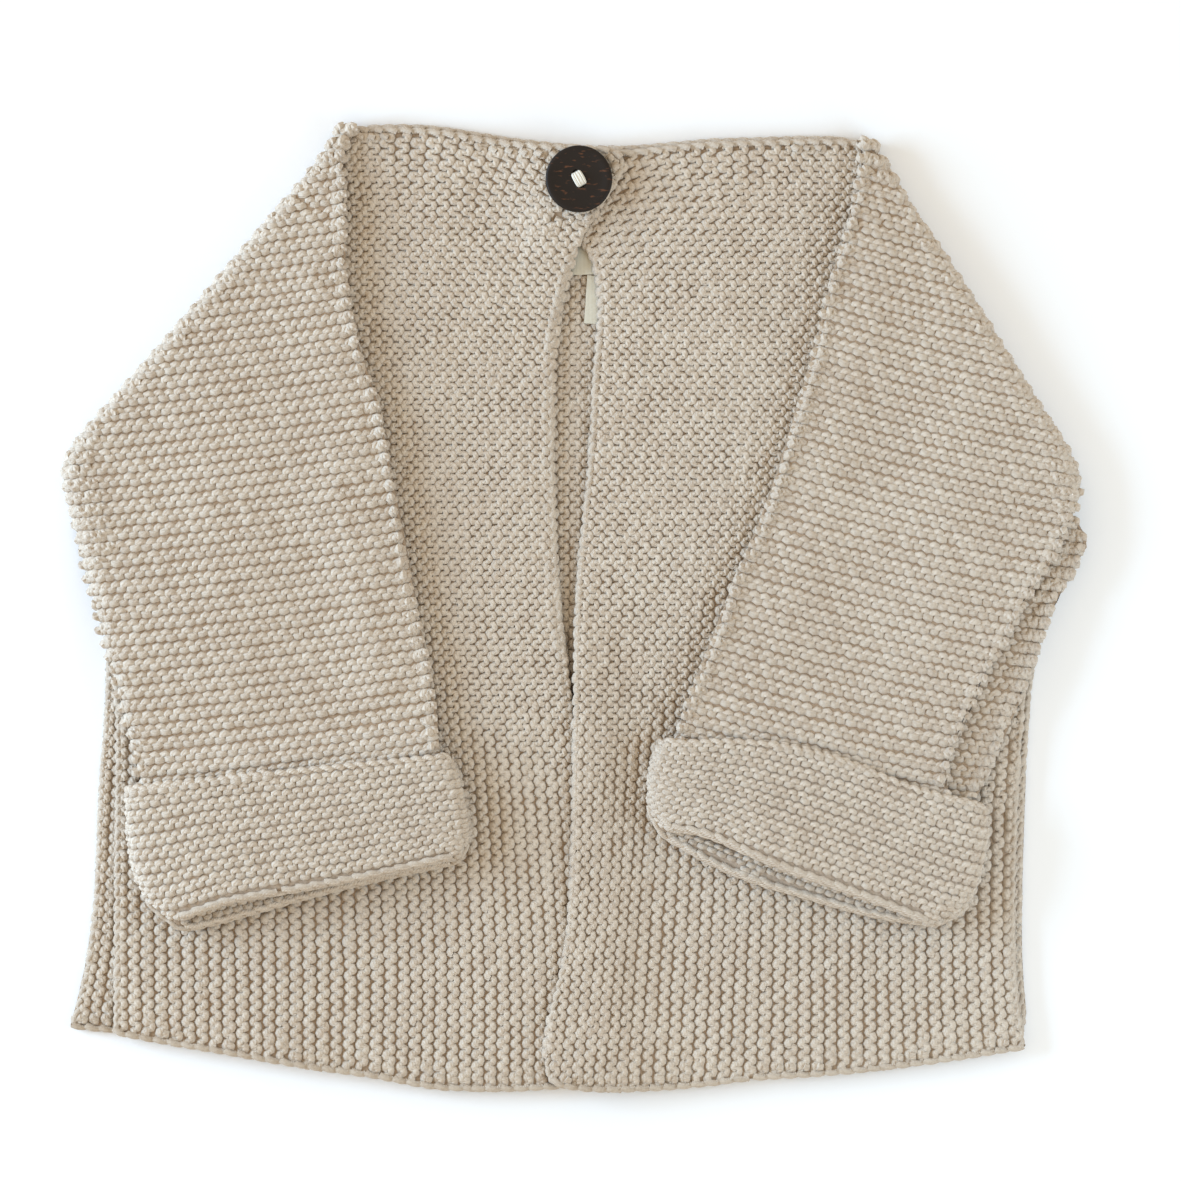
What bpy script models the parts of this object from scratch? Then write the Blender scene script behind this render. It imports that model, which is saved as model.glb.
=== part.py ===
"""Baby cardigan in garter stitch, laid flat with its sleeves folded over the fronts.

The garment is a T-shaped cut. The back lies on the table, the two fronts lie on the back,
and each sleeve is folded down over its front along a slanting fold that runs from the
shoulder corner to the underarm. The back half of a sleeve is then on top. Its edge rolls
round that fold to the underside. The cuffs are turned up round the sleeve ends, and one
button closes the neck.

Every piece of cloth is a wall of even thickness built round a middle surface. The middle
surfaces are stacked one PITCH apart. Lengths in the tables are millimetres.
Axes: +X to the viewer's right, +Y towards the neck, +Z up from the table.
"""
import math
from collections import namedtuple

import bmesh
import bpy
from mathutils import Matrix, Vector

MM = 0.001

# ---- driving dimensions, mm ------------------------------------------------------------
WALL = 2.8                 # thickness of the knitted cloth
PITCH = 3.2                # height from one layer of cloth to the next
LAYER = [WALL / 2 + PITCH * n for n in range(6)]   # middle heights of the stacked layers
EDGE_ROUND = 1.1           # how far in from an edge the wall reaches full thickness
EDGE_THIN = 0.36           # wall thickness left at the very edge, as a share of WALL
EDGE_ROW_LIMIT = 0.6       # the row inside an edge stays within this share of its cell
CENTRE_Y = 0.45            # moves the tables' origin to the middle of the whole outline

BUTTON_RADIUS = 10.95
BUTTON_THICK = 3.0
BUTTON_X = 1.3
BUTTON_Y = 139.8
BUTTON_HOLE_RADIUS = 1.1
BUTTON_HOLE_SPACING = 4.2
BUTTON_HOLE_ANGLE = math.radians(-62.0)
BUTTON_DISH = 0.5          # how much the middle of the button is sunk
BUTTON_DISH_RADIUS = 3.4
HOLE_CUT = 1.0             # how far the cutters of the holes stand out at both ends
THREAD_WIDTH = 1.3
THREAD_RISE = 0.9
THREAD_FOOT = 0.1          # how far the thread's legs stay above the button's underside
THREAD_SHOULDER = 0.3      # share of a leg's half width that is left at the bar's top
TAPE_THICK = 0.45          # woven label tape
CLEAR = 0.3                # gap between pieces that touch

CUFF_RETURN = 6.5          # depth of the cuff's turn-in at the mouth
CUFF_RISE = 12.0           # length over which a sleeve climbs on to its cuff's under layer
CUFF_AHEAD = 2.5           # it is up this far before the cuff's free edge
SLEEVE_SHORT = 10.6        # how far a sleeve ends behind the lips of its cuff
SLANT_FROM = 190.0         # place on a sleeve's axis where its rings start to slant
SLANT_LENGTH = 45.0        # length over which they turn to the slant of the mouth
FOLD_RADIUS = 4.8          # centre-line radius of the roll at the shoulder fold
FOLD_LEVEL_INSET = 4.0     # the roll's height is read this far inside its outer edge
FOLD_LEVEL_SHARE = 0.95    # and at this share of the way across the sleeve
FOLD_BLEND = 9.0           # width over which the flat takes on the roll's height
CORNER_WALL = 0.42         # share of WALL left where the cloth is pinched at the corner
CORNER_LENGTH = 15.0       # length over which it grows back to WALL

# ---- materials: name, colour, roughness ------------------------------------------------
Finish = namedtuple("Finish", "colour roughness")
COTTON = Finish((0.61, 0.55, 0.46), 0.9)
COCONUT = Finish((0.030, 0.021, 0.016), 0.5)
THREAD = Finish((0.78, 0.72, 0.60), 0.8)
TAPE = Finish((0.82, 0.77, 0.64), 0.75)

# ---- outlines of the body, mm: x, y; the slanting folds come from the sleeve tables ------
BACK_TOP = [(-47.4, 157.6), (-24.5, 153.9), (-4.9, 151.6), (15.4, 150.6), (40.9, 152.9),
            (60.5, 153.6), (85.7, 154.2)]
BACK_LEFT = [(-157.8, 30.0), (-155.8, 12.0), (-154.6, -5.0), (-154.3, -30.1),
             (-157.0, -56.9), (-157.9, -87.3), (-159.9, -114.5), (-165.6, -131.5),
             (-166.3, -138.6)]
BACK_HEM = [(-166.3, -138.6), (-153.0, -139.6), (-131.5, -142.2), (-86.0, -150.4),
            (-50.0, -155.6), (0.0, -157.0), (48.1, -155.2), (102.4, -150.0),
            (132.8, -146.0), (150.6, -144.2)]
BACK_RIGHT = [(162.5, 28.0), (159.5, 8.5), (153.9, -8.0), (150.8, -20.0), (149.6, -35.0),
              (148.3, -60.0), (147.3, -92.0), (147.0, -120.0), (148.6, -133.0),
              (150.6, -144.2)]

LEFT_TOP = [(-47.4, 156.3), (-24.5, 152.4), (-4.9, 150.4), (8.5, 150.2), (13.6, 149.4),
            (16.7, 146.6)]
LEFT_SIDE = [(-157.6, 22.0), (-152.6, 0.0), (-151.2, -30.1), (-151.5, -87.0),
             (-151.7, -114.5), (-151.7, -140.3)]
LEFT_EDGE = [(16.7, 146.6), (16.9, 143.4), (14.6, 139.4), (11.4, 135.2),
             (8.2, 130.4), (5.4, 125.0), (2.6, 121.0), (0.2, 116.5), (-1.3, 110.2),
             (-4.6, 99.4), (-6.2, 87.0), (-6.9, 67.4), (-6.5, 34.7), (-4.9, 2.0),
             (-0.7, -30.7), (2.6, -63.4), (5.6, -96.1), (7.2, -128.8), (7.8, -156.6)]
LEFT_HEM = [(-151.7, -140.3), (-145.5, -143.2), (-131.5, -144.0), (-112.0, -147.2),
            (-86.0, -151.9), (-66.4, -154.3), (-58.5, -155.4), (-52.5, -157.9),
            (-34.0, -158.9), (-12.4, -158.6), (7.8, -156.6)]

RIGHT_TOP = [(-7.5, 149.2), (15.4, 149.0), (40.9, 151.7), (60.5, 152.4), (85.7, 153.0)]
RIGHT_SIDE = [(162.6, 24.0), (156.6, 5.0), (149.8, -12.0), (147.6, -35.0), (145.8, -60.0),
              (144.8, -92.0), (144.6, -120.0), (146.4, -133.0), (148.2, -145.0)]
RIGHT_EDGE = [(-7.5, 149.2), (-8.5, 140.9), (-7.5, 131.1), (-4.9, 125.6), (-0.6, 121.0),
              (3.6, 117.2), (7.2, 112.5), (8.0, 103.3), (7.8, 93.2), (5.6, 77.5),
              (4.7, 51.0), (1.0, 18.3), (0.0, 2.0), (-0.7, -30.7), (-1.0, -56.9),
              (-1.3, -78.8), (-2.3, -102.7), (-4.8, -119.7), (-8.2, -133.1),
              (-11.5, -141.6), (-11.5, -149.8), (-9.9, -153.8)]
RIGHT_HEM = [(-9.9, -153.8), (-6.8, -156.8), (-1.5, -158.3), (9.5, -158.9),
             (33.7, -158.3), (48.1, -156.6), (55.3, -155.1),
             (86.7, -153.7), (102.4, -151.4), (114.5, -150.4), (132.8, -147.5),
             (148.2, -145.0)]

# How far the body's layers stay inside a sleeve's rolled edge, measured across the sleeve,
# and the stretch of the sleeve's axis along which they follow it.
BACK_INSET = 10.8
FRONT_INSET = 5.8
FOLD_TO = 92.0
CORNER_DROP = 1.6          # how far below the shoulder corner the body's layers start
CORNER_REACH = 1.0         # how much less their inset is at that corner

# The left front's edge under the right front, as a straight line: a place on it, and how
# far it runs to the right for each millimetre towards the hem.
LAP_X = -0.7
LAP_Y = -30.7
LAP_SLANT = 0.067

# Where a layer climbs one PITCH: the place where the climb starts and its signed length.
Ramp = namedtuple("Ramp", "start length")
TAB_X = Ramp(-21.0, 10.5)          # left front on to the right front at the neck tab
TAB_Y = Ramp(103.0, 14.5)
HEM_LAP_X = Ramp(18.0, -11.0)      # right front on to the left front's hidden edge
HEM_LAP_Y = Ramp(12.0, -34.0)
UNDER_TAB_X = Ramp(28.0, -12.0)    # where the right front lies smooth below the tab
UNDER_TAB_Y = Ramp(100.0, 12.0)
UPPER_LIFT = Ramp(4.0, 24.0)       # a sleeve's upper half, away from the corner

# ---- soft folds and dips: middle of the fold from x0, y0 to x1, y1 ----------------------
Fold = namedtuple("Fold", "x0 y0 x1 y1 half_width height")
FRONT_FOLDS = [
    Fold(-40.0, 150.0, -52.0, 75.0, 7.0, 1.1),
    Fold(-17.0, 146.0, -30.0, 95.0, 6.0, 0.8),
    Fold(44.0, 148.0, 52.0, 85.0, 7.0, 1.0),
    Fold(26.0, 144.0, 30.0, 105.0, 5.0, 0.6),
    Fold(-20.0, -40.0, -24.0, -140.0, 12.0, 0.8),
    Fold(-95.0, -128.0, -92.0, -152.0, 9.0, 1.3),
    Fold(62.0, -70.0, 70.0, -150.0, 10.0, 1.2),
    Fold(114.0, -116.0, 117.0, -148.0, 8.0, 0.9),
]
SLEEVE_FOLDS = [
    Fold(-86.0, 104.0, -75.0, 52.0, 7.0, 1.5),
    Fold(-77.0, 40.0, -64.0, -22.0, 8.0, 1.9),
    Fold(-118.0, 78.0, -112.0, -20.0, 14.0, 1.0),
    Fold(98.0, 118.0, 84.0, 50.0, 8.0, 1.5),
    Fold(80.0, 40.0, 62.0, -20.0, 9.0, 1.2),
    Fold(128.0, 62.0, 112.0, -30.0, 12.0, 1.1),
]

# ---- sleeves: origin at the shoulder corner, axis down the sleeve -----------------------
Frame = namedtuple("Frame", "x y axis_x axis_y side_x side_y")
LEFT_SLEEVE = Frame(-75.2, 158.3, 0.163, -0.987, -0.987, -0.163)
RIGHT_SLEEVE = Frame(97.1, 153.0, -0.300, -0.954, 0.954, -0.300)

# Upper half: distance down the axis, inner and outer edge across it, how far the outer
# edge curls under (degrees), and the length of cloth after the curl.
Upper = namedtuple("Upper", "along inner outer curl after")
LEFT_UPPER = [
    Upper(0.8, -3.6, 3.2, 180, 1.2),
    Upper(3.6, -1.8, 5.6, 180, 1.4),
    Upper(7.8, 0.2, 9.2, 180, 1.8),
    Upper(14.7, 2.6, 16.2, 180, 2.5),
    Upper(24.5, 3.9, 28.4, 180, 3.2),
    Upper(36.0, 5.6, 42.0, 180, 3.2),
    Upper(49.1, 7.5, 57.4, 180, 3.2),
    Upper(63.8, 8.8, 74.8, 180, 3.2),
    Upper(78.5, 6.5, 93.4, 180, 3.2),
    Upper(88.3, 4.6, 105.6, 180, 3.0),
    Upper(94.5, 4.3, 110.8, 175, 2.6),
    Upper(101.4, 4.1, 111.8, 160, 2.0),
    Upper(109.0, 3.8, 111.2, 140, 1.6),
    Upper(118.0, 3.5, 109.8, 115, 1.6),
    Upper(130.8, 2.9, 108.6, 90, 1.6),
    Upper(147.2, 2.6, 107.3, 75, 1.6),
    Upper(163.0, 2.3, 105.9, 65, 1.6),
    Upper(180.0, 1.6, 104.3, 55, 1.6),
    Upper(196.0, 1.8, 103.4, 40, 1.6),
    Upper(208.0, 2.6, 102.6, 15, 1.6),
    Upper(222.0, 2.0, 102.8, 15, 1.6),
    Upper(237.0, 2.4, 99.4, 15, 1.6),
]
RIGHT_UPPER = [
    Upper(1.4, -4.6, 2.6, 180, 1.2),
    Upper(4.4, -3.0, 6.3, 180, 1.4),
    Upper(9.2, -0.9, 12.2, 180, 1.8),
    Upper(17.0, -0.3, 20.0, 180, 2.8),
    Upper(32.0, 0.5, 39.8, 180, 3.2),
    Upper(50.7, 1.0, 61.3, 180, 3.2),
    Upper(68.0, 2.3, 81.6, 180, 3.2),
    Upper(77.8, 2.6, 93.8, 170, 2.6),
    Upper(83.4, 2.7, 98.8, 140, 2.0),
    Upper(90.3, 2.7, 101.2, 80, 1.6),
    Upper(96.0, 2.8, 101.8, 15, 1.6),
    Upper(103.0, 3.0, 101.6, 15, 1.6),
    Upper(109.5, 3.1, 100.6, 15, 1.6),
    Upper(120.0, 2.9, 98.0, 15, 1.6),
    Upper(131.8, 2.3, 95.0, 15, 1.6),
    Upper(142.6, 1.3, 93.6, 15, 1.6),
    Upper(154.0, 0.3, 90.6, 15, 1.6),
    Upper(170.0, -1.0, 88.4, 15, 1.6),
    Upper(186.0, -2.0, 87.0, 15, 1.6),
    Upper(196.0, -2.4, 89.6, 15, 1.6),
    Upper(208.0, -2.6, 97.4, 15, 1.6),
    Upper(227.0, -0.6, 98.2, 15, 1.6),
]

# Under half: distance down the axis, inner and outer edge across it.
Under = namedtuple("Under", "along inner outer")
LEFT_UNDER = [
    Under(30.0, 7.0, 29.4),
    Under(36.0, 6.6, 36.0),
    Under(49.1, 8.5, 51.4),
    Under(63.8, 9.8, 68.8),
    Under(78.5, 7.5, 86.8),
    Under(90.0, 5.4, 99.4),
    Under(98.0, 5.2, 104.2),
    Under(109.0, 4.8, 104.6),
    Under(130.8, 3.9, 102.4),
    Under(163.0, 3.3, 100.0),
    Under(196.0, 2.8, 98.0),
    Under(222.0, 2.6, 98.4),
    Under(237.0, 3.4, 95.6),
]
RIGHT_UNDER = [
    Under(30.0, 3.0, 31.0),
    Under(36.0, 2.6, 38.4),
    Under(50.7, 2.0, 55.3),
    Under(68.0, 3.3, 75.6),
    Under(80.0, 3.6, 89.6),
    Under(90.0, 3.7, 94.6),
    Under(96.0, 3.8, 97.0),
    Under(103.0, 3.9, 107.9),
    Under(109.5, 4.1, 107.9),
    Under(119.7, 3.9, 104.8),
    Under(134.0, 3.3, 102.8),
    Under(150.0, 1.3, 102.6),
    Under(168.7, 0.0, 101.4),
    Under(186.0, -1.0, 98.9),
    Under(196.0, -1.6, 97.6),
    Under(208.0, -2.2, 97.2),
    Under(229.0, 0.8, 97.6),
]

# Cuff rims: share of the way from the inner to the outer edge, distance down the axis of
# the free edge, of the mouth's upper lip and of its lower lip, and the mouth's gape.
Rim = namedtuple("Rim", "share free lip_upper lip_under gape")
LEFT_RIM = [
    Rim(0.0, 208.6, 242.4, 244.6, 0.0),
    Rim(0.27, 206.7, 244.0, 245.7, 0.6),
    Rim(0.6, 204.9, 244.6, 248.2, 1.2),
    Rim(0.85, 203.6, 244.6, 250.9, 1.8),
    Rim(1.0, 203.1, 247.4, 251.8, 0.4),
]
RIGHT_RIM = [
    Rim(0.0, 206.6, 234.6, 238.2, 0.4),
    Rim(0.1, 202.6, 232.4, 240.4, 1.6),
    Rim(0.27, 198.2, 234.4, 242.8, 2.8),
    Rim(0.45, 195.9, 235.8, 242.9, 2.6),
    Rim(0.65, 196.6, 236.4, 242.5, 1.8),
    Rim(0.83, 197.8, 237.2, 242.0, 0.8),
    Rim(1.0, 196.6, 238.4, 239.4, 0.0),
]
# Cuff sides: share of the way from the free edge to the mouth, inner and outer edge.
Side = namedtuple("Side", "share inner outer")
LEFT_CUFF = [
    Side(0.0, -1.4, 107.8),
    Side(0.25, -3.6, 108.9),
    Side(0.5, -4.8, 109.9),
    Side(0.75, -4.2, 108.4),
    Side(0.9, -2.6, 104.4),
    Side(1.0, -0.4, 99.8),
]
RIGHT_CUFF = [
    Side(0.0, -7.6, 103.4),
    Side(0.25, -9.4, 106.2),
    Side(0.5, -8.6, 107.9),
    Side(0.75, -6.2, 107.2),
    Side(0.9, -3.6, 104.4),
    Side(1.0, -0.4, 99.2),
]

# The button's section from its underside to its dish: inset from its rim, and height.
Turn = namedtuple("Turn", "inset height")
BUTTON_SECTION = [
    Turn(0.9, 0.0), Turn(0.25, 0.35), Turn(0.0, 1.0), Turn(0.0, BUTTON_THICK - 1.0),
    Turn(0.3, BUTTON_THICK - 0.3), Turn(1.0, BUTTON_THICK), Turn(1.9, BUTTON_THICK - 0.1),
    Turn(2.9, BUTTON_THICK - 0.4),
    Turn(BUTTON_RADIUS - BUTTON_DISH_RADIUS, BUTTON_THICK - BUTTON_DISH),
]

# ---- labels in the back neck: centre, size, turn ----------------------------------------
Tape = namedtuple("Tape", "x y width length turn")
NECK_LABEL = Tape(2.3, 111.2, 5.6, 5.2, math.radians(2.0))
CARE_LABEL = Tape(5.2, 100.2, 3.3, 15.6, math.radians(-4.0))

# ---- mesh densities --------------------------------------------------------------------
BACK_CELLS = (20, 20)
FRONT_CELLS = (12, 24)
CROWD = 1.5                # how much a front's columns crowd towards its centre edge
ROW_CROWD = 1.25           # how much a panel's rows crowd towards its top edge
UPPER_CELLS = 11           # across the flat of a sleeve's upper half
UNDER_CELLS = 7
CURL_STEPS = 5
CUFF_FLAT_STEPS = 9
CUFF_END_STEPS = 5
BUTTON_SEGMENTS = 40
HOLE_SEGMENTS = 14
CURVE_STEPS = 8            # straight steps between two points of an outline

# Stations along a cuff's wall before its turn, as shares of its depth.
CUFF_STATIONS = (0.0, 0.16, 0.4, 0.65, 0.85)
CUFF_TURN_STEPS = 4
# Rings of a sleeve from SLANT_FROM on: six close together, then two on their own.
CLIMB_STEP = 3.0
CLIMB_STEPS = 6
LATE_STATIONS = [209.0, 222.0]


# ---- curves and tables -----------------------------------------------------------------
def ease(value):
    """Smooth step from 0 to 1 over the range 0 to 1."""
    value = min(1.0, max(0.0, value))
    return value * value * (3.0 - 2.0 * value)


def climbed(ramp, place):
    """How far a layer has climbed, 0 to 1, at a place along a ramp."""
    return ease((place - ramp.start) / ramp.length)


def table_value(rows, key, wanted, column):
    """Read a column of a table at any place between its rows, with a smooth curve."""
    places = [getattr(row, key) for row in rows]
    values = [getattr(row, column) for row in rows]
    if wanted <= places[0]:
        return values[0]
    if wanted >= places[-1]:
        return values[-1]
    last = len(rows) - 1
    at = next(i for i in range(last) if wanted <= places[i + 1])

    def slope(i):
        low = max(0, i - 1)
        high = min(last, i + 1)
        return (values[high] - values[low]) / (places[high] - places[low])

    span = places[at + 1] - places[at]
    t = (wanted - places[at]) / span
    start = values[at] * (1 - t) ** 2 * (1 + 2 * t) + slope(at) * span * t * (1 - t) ** 2
    end = values[at + 1] * t * t * (3 - 2 * t) - slope(at + 1) * span * t * t * (1 - t)
    return start + end


def curve_through(points, shares):
    """Points on a smooth curve through the given x, y points, at shares of its length."""
    fine = []
    for i in range(len(points) - 1):
        before = Vector(points[max(0, i - 1)])
        start = Vector(points[i])
        end = Vector(points[i + 1])
        after = Vector(points[min(len(points) - 1, i + 2)])
        reach = (end - start).length
        leave = (end - before).normalized() * reach
        arrive = (after - start).normalized() * reach
        for k in range(CURVE_STEPS):
            t = k / CURVE_STEPS
            fine.append(start * (1 - t) ** 2 * (1 + 2 * t) + leave * t * (1 - t) ** 2
                        + end * t * t * (3 - 2 * t) - arrive * t * t * (1 - t))
    fine.append(Vector(points[-1]))
    lengths = [0.0]
    for a, b in zip(fine, fine[1:]):
        lengths.append(lengths[-1] + (b - a).length)
    result = []
    at = 0
    for share in shares:
        wanted = lengths[-1] * share
        while at < len(fine) - 2 and lengths[at + 1] < wanted:
            at += 1
        part = (wanted - lengths[at]) / max(1e-9, lengths[at + 1] - lengths[at])
        result.append(fine[at].lerp(fine[at + 1], min(1.0, part)))
    return result


def panel_grid(top, hem, left, right, cells, crowd):
    """Plan grid of a panel between its four edges: rows run from the top to the hem.

    A crowd above 1 packs the columns towards the left edge, below -1 towards the right.
    The rows are packed a little towards the top.
    """
    across, down = cells
    columns = [(i / across) ** abs(crowd) for i in range(across + 1)]
    if crowd < 0:
        columns = [1.0 - u for u in reversed(columns)]
    rows = [(j / down) ** ROW_CROWD for j in range(down + 1)]
    top = curve_through(top, columns)
    hem = curve_through(hem, columns)
    left = curve_through(left, rows)
    right = curve_through(right, rows)
    grid = []
    for j, v in enumerate(rows):
        row = []
        for i, u in enumerate(columns):
            ruled = left[j].lerp(right[j], u) + top[i].lerp(hem[i], v)
            corners = top[0].lerp(top[-1], u).lerp(hem[0].lerp(hem[-1], u), v)
            row.append(ruled - corners)
        grid.append(row)
    return grid


def with_edge_rows(grid, close_across=False):
    """Add a row EDGE_ROUND inside each free edge, so that the wall can round off there."""
    def widen(line):
        first = line[1] - line[0]
        first = first * min(EDGE_ROW_LIMIT, EDGE_ROUND / first.length)
        last = line[-2] - line[-1]
        last = last * min(EDGE_ROW_LIMIT, EDGE_ROUND / last.length)
        return [line[0], line[0] + first] + list(line[1:-1]) + [line[-1] + last, line[-1]]

    columns = [widen([row[i] for row in grid]) for i in range(len(grid[0]))]
    grid = [list(row) for row in zip(*columns)]
    if close_across:
        return grid
    return [widen(row) for row in grid]


# ---- heights of the layers -------------------------------------------------------------
def fold_height(folds, x, y):
    """Height that the soft folds add at a place, fading at both ends of each fold."""
    total = 0.0
    for fold in folds:
        start = Vector((fold.x0, fold.y0))
        run = Vector((fold.x1, fold.y1)) - start
        t = (Vector((x, y)) - start).dot(run) / run.length_squared
        near = start + run * min(1.0, max(0.0, t))
        away = (Vector((x, y)) - near).length / fold.half_width
        total += fold.height * math.exp(-away * away)
    return total


def back_height(x, y):
    """The back lies on the table."""
    return LAYER[0]


def left_front_height(x, y):
    """The left front climbs on to the right front at the neck tab."""
    over = climbed(TAB_X, x) * climbed(TAB_Y, y)
    return LAYER[1] + PITCH * over + fold_height(FRONT_FOLDS, x, y) * (1.0 - over)


def right_front_height(x, y):
    """The right front climbs on to the left front's edge towards the hem."""
    hidden_edge = LAP_X + LAP_SLANT * (LAP_Y - y)
    over = climbed(HEM_LAP_X, x - hidden_edge) * climbed(HEM_LAP_Y, y)
    under_tab = climbed(UNDER_TAB_X, x) * climbed(UNDER_TAB_Y, y)
    return (LAYER[1] + PITCH * over
            + fold_height(FRONT_FOLDS, x, y) * (1.0 - over) * (1.0 - under_tab))


def cuff_climb(rims, along, share):
    """How far a sleeve has climbed, 0 to 1, on to the under layer of its cuff."""
    free = table_value(rims, "share", share, "free")
    return ease((along - free + CUFF_RISE + CUFF_AHEAD) / CUFF_RISE)


def lip_slant(rims, column, along, share, last):
    """Slant of a sleeve's rings near its last one, so that its end follows the cuff's lip."""
    slant = table_value(rims, "share", share, column) - SLEEVE_SHORT - last
    return slant * ease((along - SLANT_FROM) / SLANT_LENGTH)


def stations(upper_rows, last):
    """Distances down the axis for a sleeve's rings, closer where it climbs to its cuff."""
    places = [row.along for row in upper_rows if row.along < SLANT_FROM]
    places += [SLANT_FROM + CLIMB_STEP * step for step in range(CLIMB_STEPS)]
    return places + LATE_STATIONS + [last]


def mouth_gape(rims, along, share):
    """How far the mouth's upper lip stands open at a place in the cuff."""
    free = table_value(rims, "share", share, "free")
    lip = table_value(rims, "share", share, "lip_upper")
    gape = table_value(rims, "share", share, "gape")
    return gape * ease((along - free) / (lip - free))


def to_plan(frame, along, across):
    x = frame.x + frame.axis_x * along + frame.side_x * across
    y = frame.y + frame.axis_y * along + frame.side_y * across
    return x, y


def fold_edge(frame, rows, inset):
    """Plan points that run down a sleeve's rolled edge, a little inside it."""
    points = [to_plan(frame, CORNER_DROP, rows[0].outer - inset + CORNER_REACH)]
    for row in rows[2:]:
        if row.along < FOLD_TO:
            points.append(to_plan(frame, row.along, row.outer - inset))
    return points


def under_height(frame, rims, along, across, share):
    x, y = to_plan(frame, along, across)
    base = fold_height(FRONT_FOLDS, x, y)
    return LAYER[2] + base + PITCH * cuff_climb(rims, along, share)


def upper_height(frame, rims, along, across, share):
    """The upper half starts one layer up and rises when the under half slides below it."""
    x, y = to_plan(frame, along, across)
    soft = fold_height(FRONT_FOLDS, x, y)
    soft += fold_height(SLEEVE_FOLDS, x, y) * (1.0 - cuff_climb(rims, along, share))
    climb = climbed(UPPER_LIFT, along) + cuff_climb(rims, along + CLEAR, share)
    return LAYER[2] + soft + PITCH * climb + mouth_gape(rims, along, share)


# ---- solids ----------------------------------------------------------------------------
def material(name, finish):
    made = bpy.data.materials.new(name)
    made.use_nodes = True
    shader = made.node_tree.nodes["Principled BSDF"]
    shader.inputs["Base Color"].default_value = (*finish.colour, 1.0)
    shader.inputs["Roughness"].default_value = finish.roughness
    shader.inputs["Metallic"].default_value = 0.0
    return made


def add_object(name, bm, finish):
    """Turn a closed bmesh in millimetres into an object in metres."""
    bmesh.ops.recalc_face_normals(bm, faces=bm.faces)
    bmesh.ops.translate(bm, verts=bm.verts, vec=(0.0, CENTRE_Y, 0.0))
    bmesh.ops.scale(bm, vec=(MM, MM, MM), verts=bm.verts)
    mesh = bpy.data.meshes.new(name)
    bm.to_mesh(mesh)
    bm.free()
    mesh.shade_smooth()
    mesh.set_sharp_from_angle(angle=math.radians(50.0))
    made = bpy.data.objects.new(name, mesh)
    made.data.materials.append(material(name + "_finish", finish))
    bpy.context.scene.collection.objects.link(made)
    return made


def wall_solid(name, grid, finish, close_across=False, row_share=None):
    """A closed wall of even thickness round a grid of middle points.

    The wall thins to EDGE_THIN at each free edge. With close_across the rows are rings.
    row_share gives the share of WALL that each row has, where it isn't 1.
    """
    rows = len(grid)
    columns = len(grid[0])

    def point(j, i):
        if close_across:
            return grid[j][i % columns]
        return grid[j][min(columns - 1, max(0, i))]

    bm = bmesh.new()
    sides = ([], [])
    for j in range(rows):
        lines = ([], [])
        for i in range(columns):
            across = point(j, i + 1) - point(j, i - 1)
            down = grid[min(rows - 1, j + 1)][i] - grid[max(0, j - 1)][i]
            normal = across.cross(down).normalized()
            at_edge = j in (0, rows - 1)
            if not close_across:
                at_edge = at_edge or i in (0, columns - 1)
            half = WALL / 2 * (EDGE_THIN if at_edge else 1.0)
            half *= row_share[j] if row_share else 1.0
            for side, line in zip((1, -1), lines):
                place = grid[j][i] + normal * half * side
                place.z = max(place.z, 0.0)
                line.append(bm.verts.new(place))
        sides[0].append(lines[0])
        sides[1].append(lines[1])

    spans = columns if close_across else columns - 1
    for j in range(rows - 1):
        for i in range(spans):
            k = (i + 1) % columns
            for side in sides:
                bm.faces.new((side[j][i], side[j][k], side[j + 1][k], side[j + 1][i]))
    rims = []
    for j in (0, rows - 1):
        for i in range(spans):
            rims.append((j, i, j, (i + 1) % columns))
    if not close_across:
        for i in (0, columns - 1):
            for j in range(rows - 1):
                rims.append((j, i, j + 1, i))
    for j, i, m, k in rims:
        bm.faces.new((sides[0][j][i], sides[0][m][k], sides[1][m][k], sides[1][j][i]))
    return add_object(name, bm, finish)


def panel(name, edges, cells, crowd, height):
    """A flat panel of cloth between its top, hem, left and right edges."""
    plan = with_edge_rows(panel_grid(*edges, cells, crowd))
    grid = [[Vector((p.x, p.y, height(p.x, p.y))) for p in row] for row in plan]
    return wall_solid(name, grid, COTTON)


def curl_points(inner, outer, level, curl, after):
    """Section of an upper half: offsets across the sleeve and heights.

    The flat runs from the inner edge to the start of the curl, which then turns down
    and under by `curl` degrees.
    """
    drop = level - LAYER[0]
    radius = min(FOLD_RADIUS, drop / 2)
    turn = math.radians(curl)
    reach = radius * math.sin(min(turn, math.pi / 2)) + WALL / 2
    if turn < math.pi / 2:
        reach += after * math.cos(turn)
    start = outer - reach
    points = []
    for k in range(UPPER_CELLS + 1):
        points.append((inner + (start - inner) * k / UPPER_CELLS, 0.0))
    for k in range(1, CURL_STEPS + 1):
        angle = turn * k / CURL_STEPS
        points.append((start + radius * math.sin(angle), radius * (math.cos(angle) - 1)))
    end = points[-1]
    points.append((end[0] + after * math.cos(turn), end[1] - after * math.sin(turn)))
    return points, start


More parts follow.
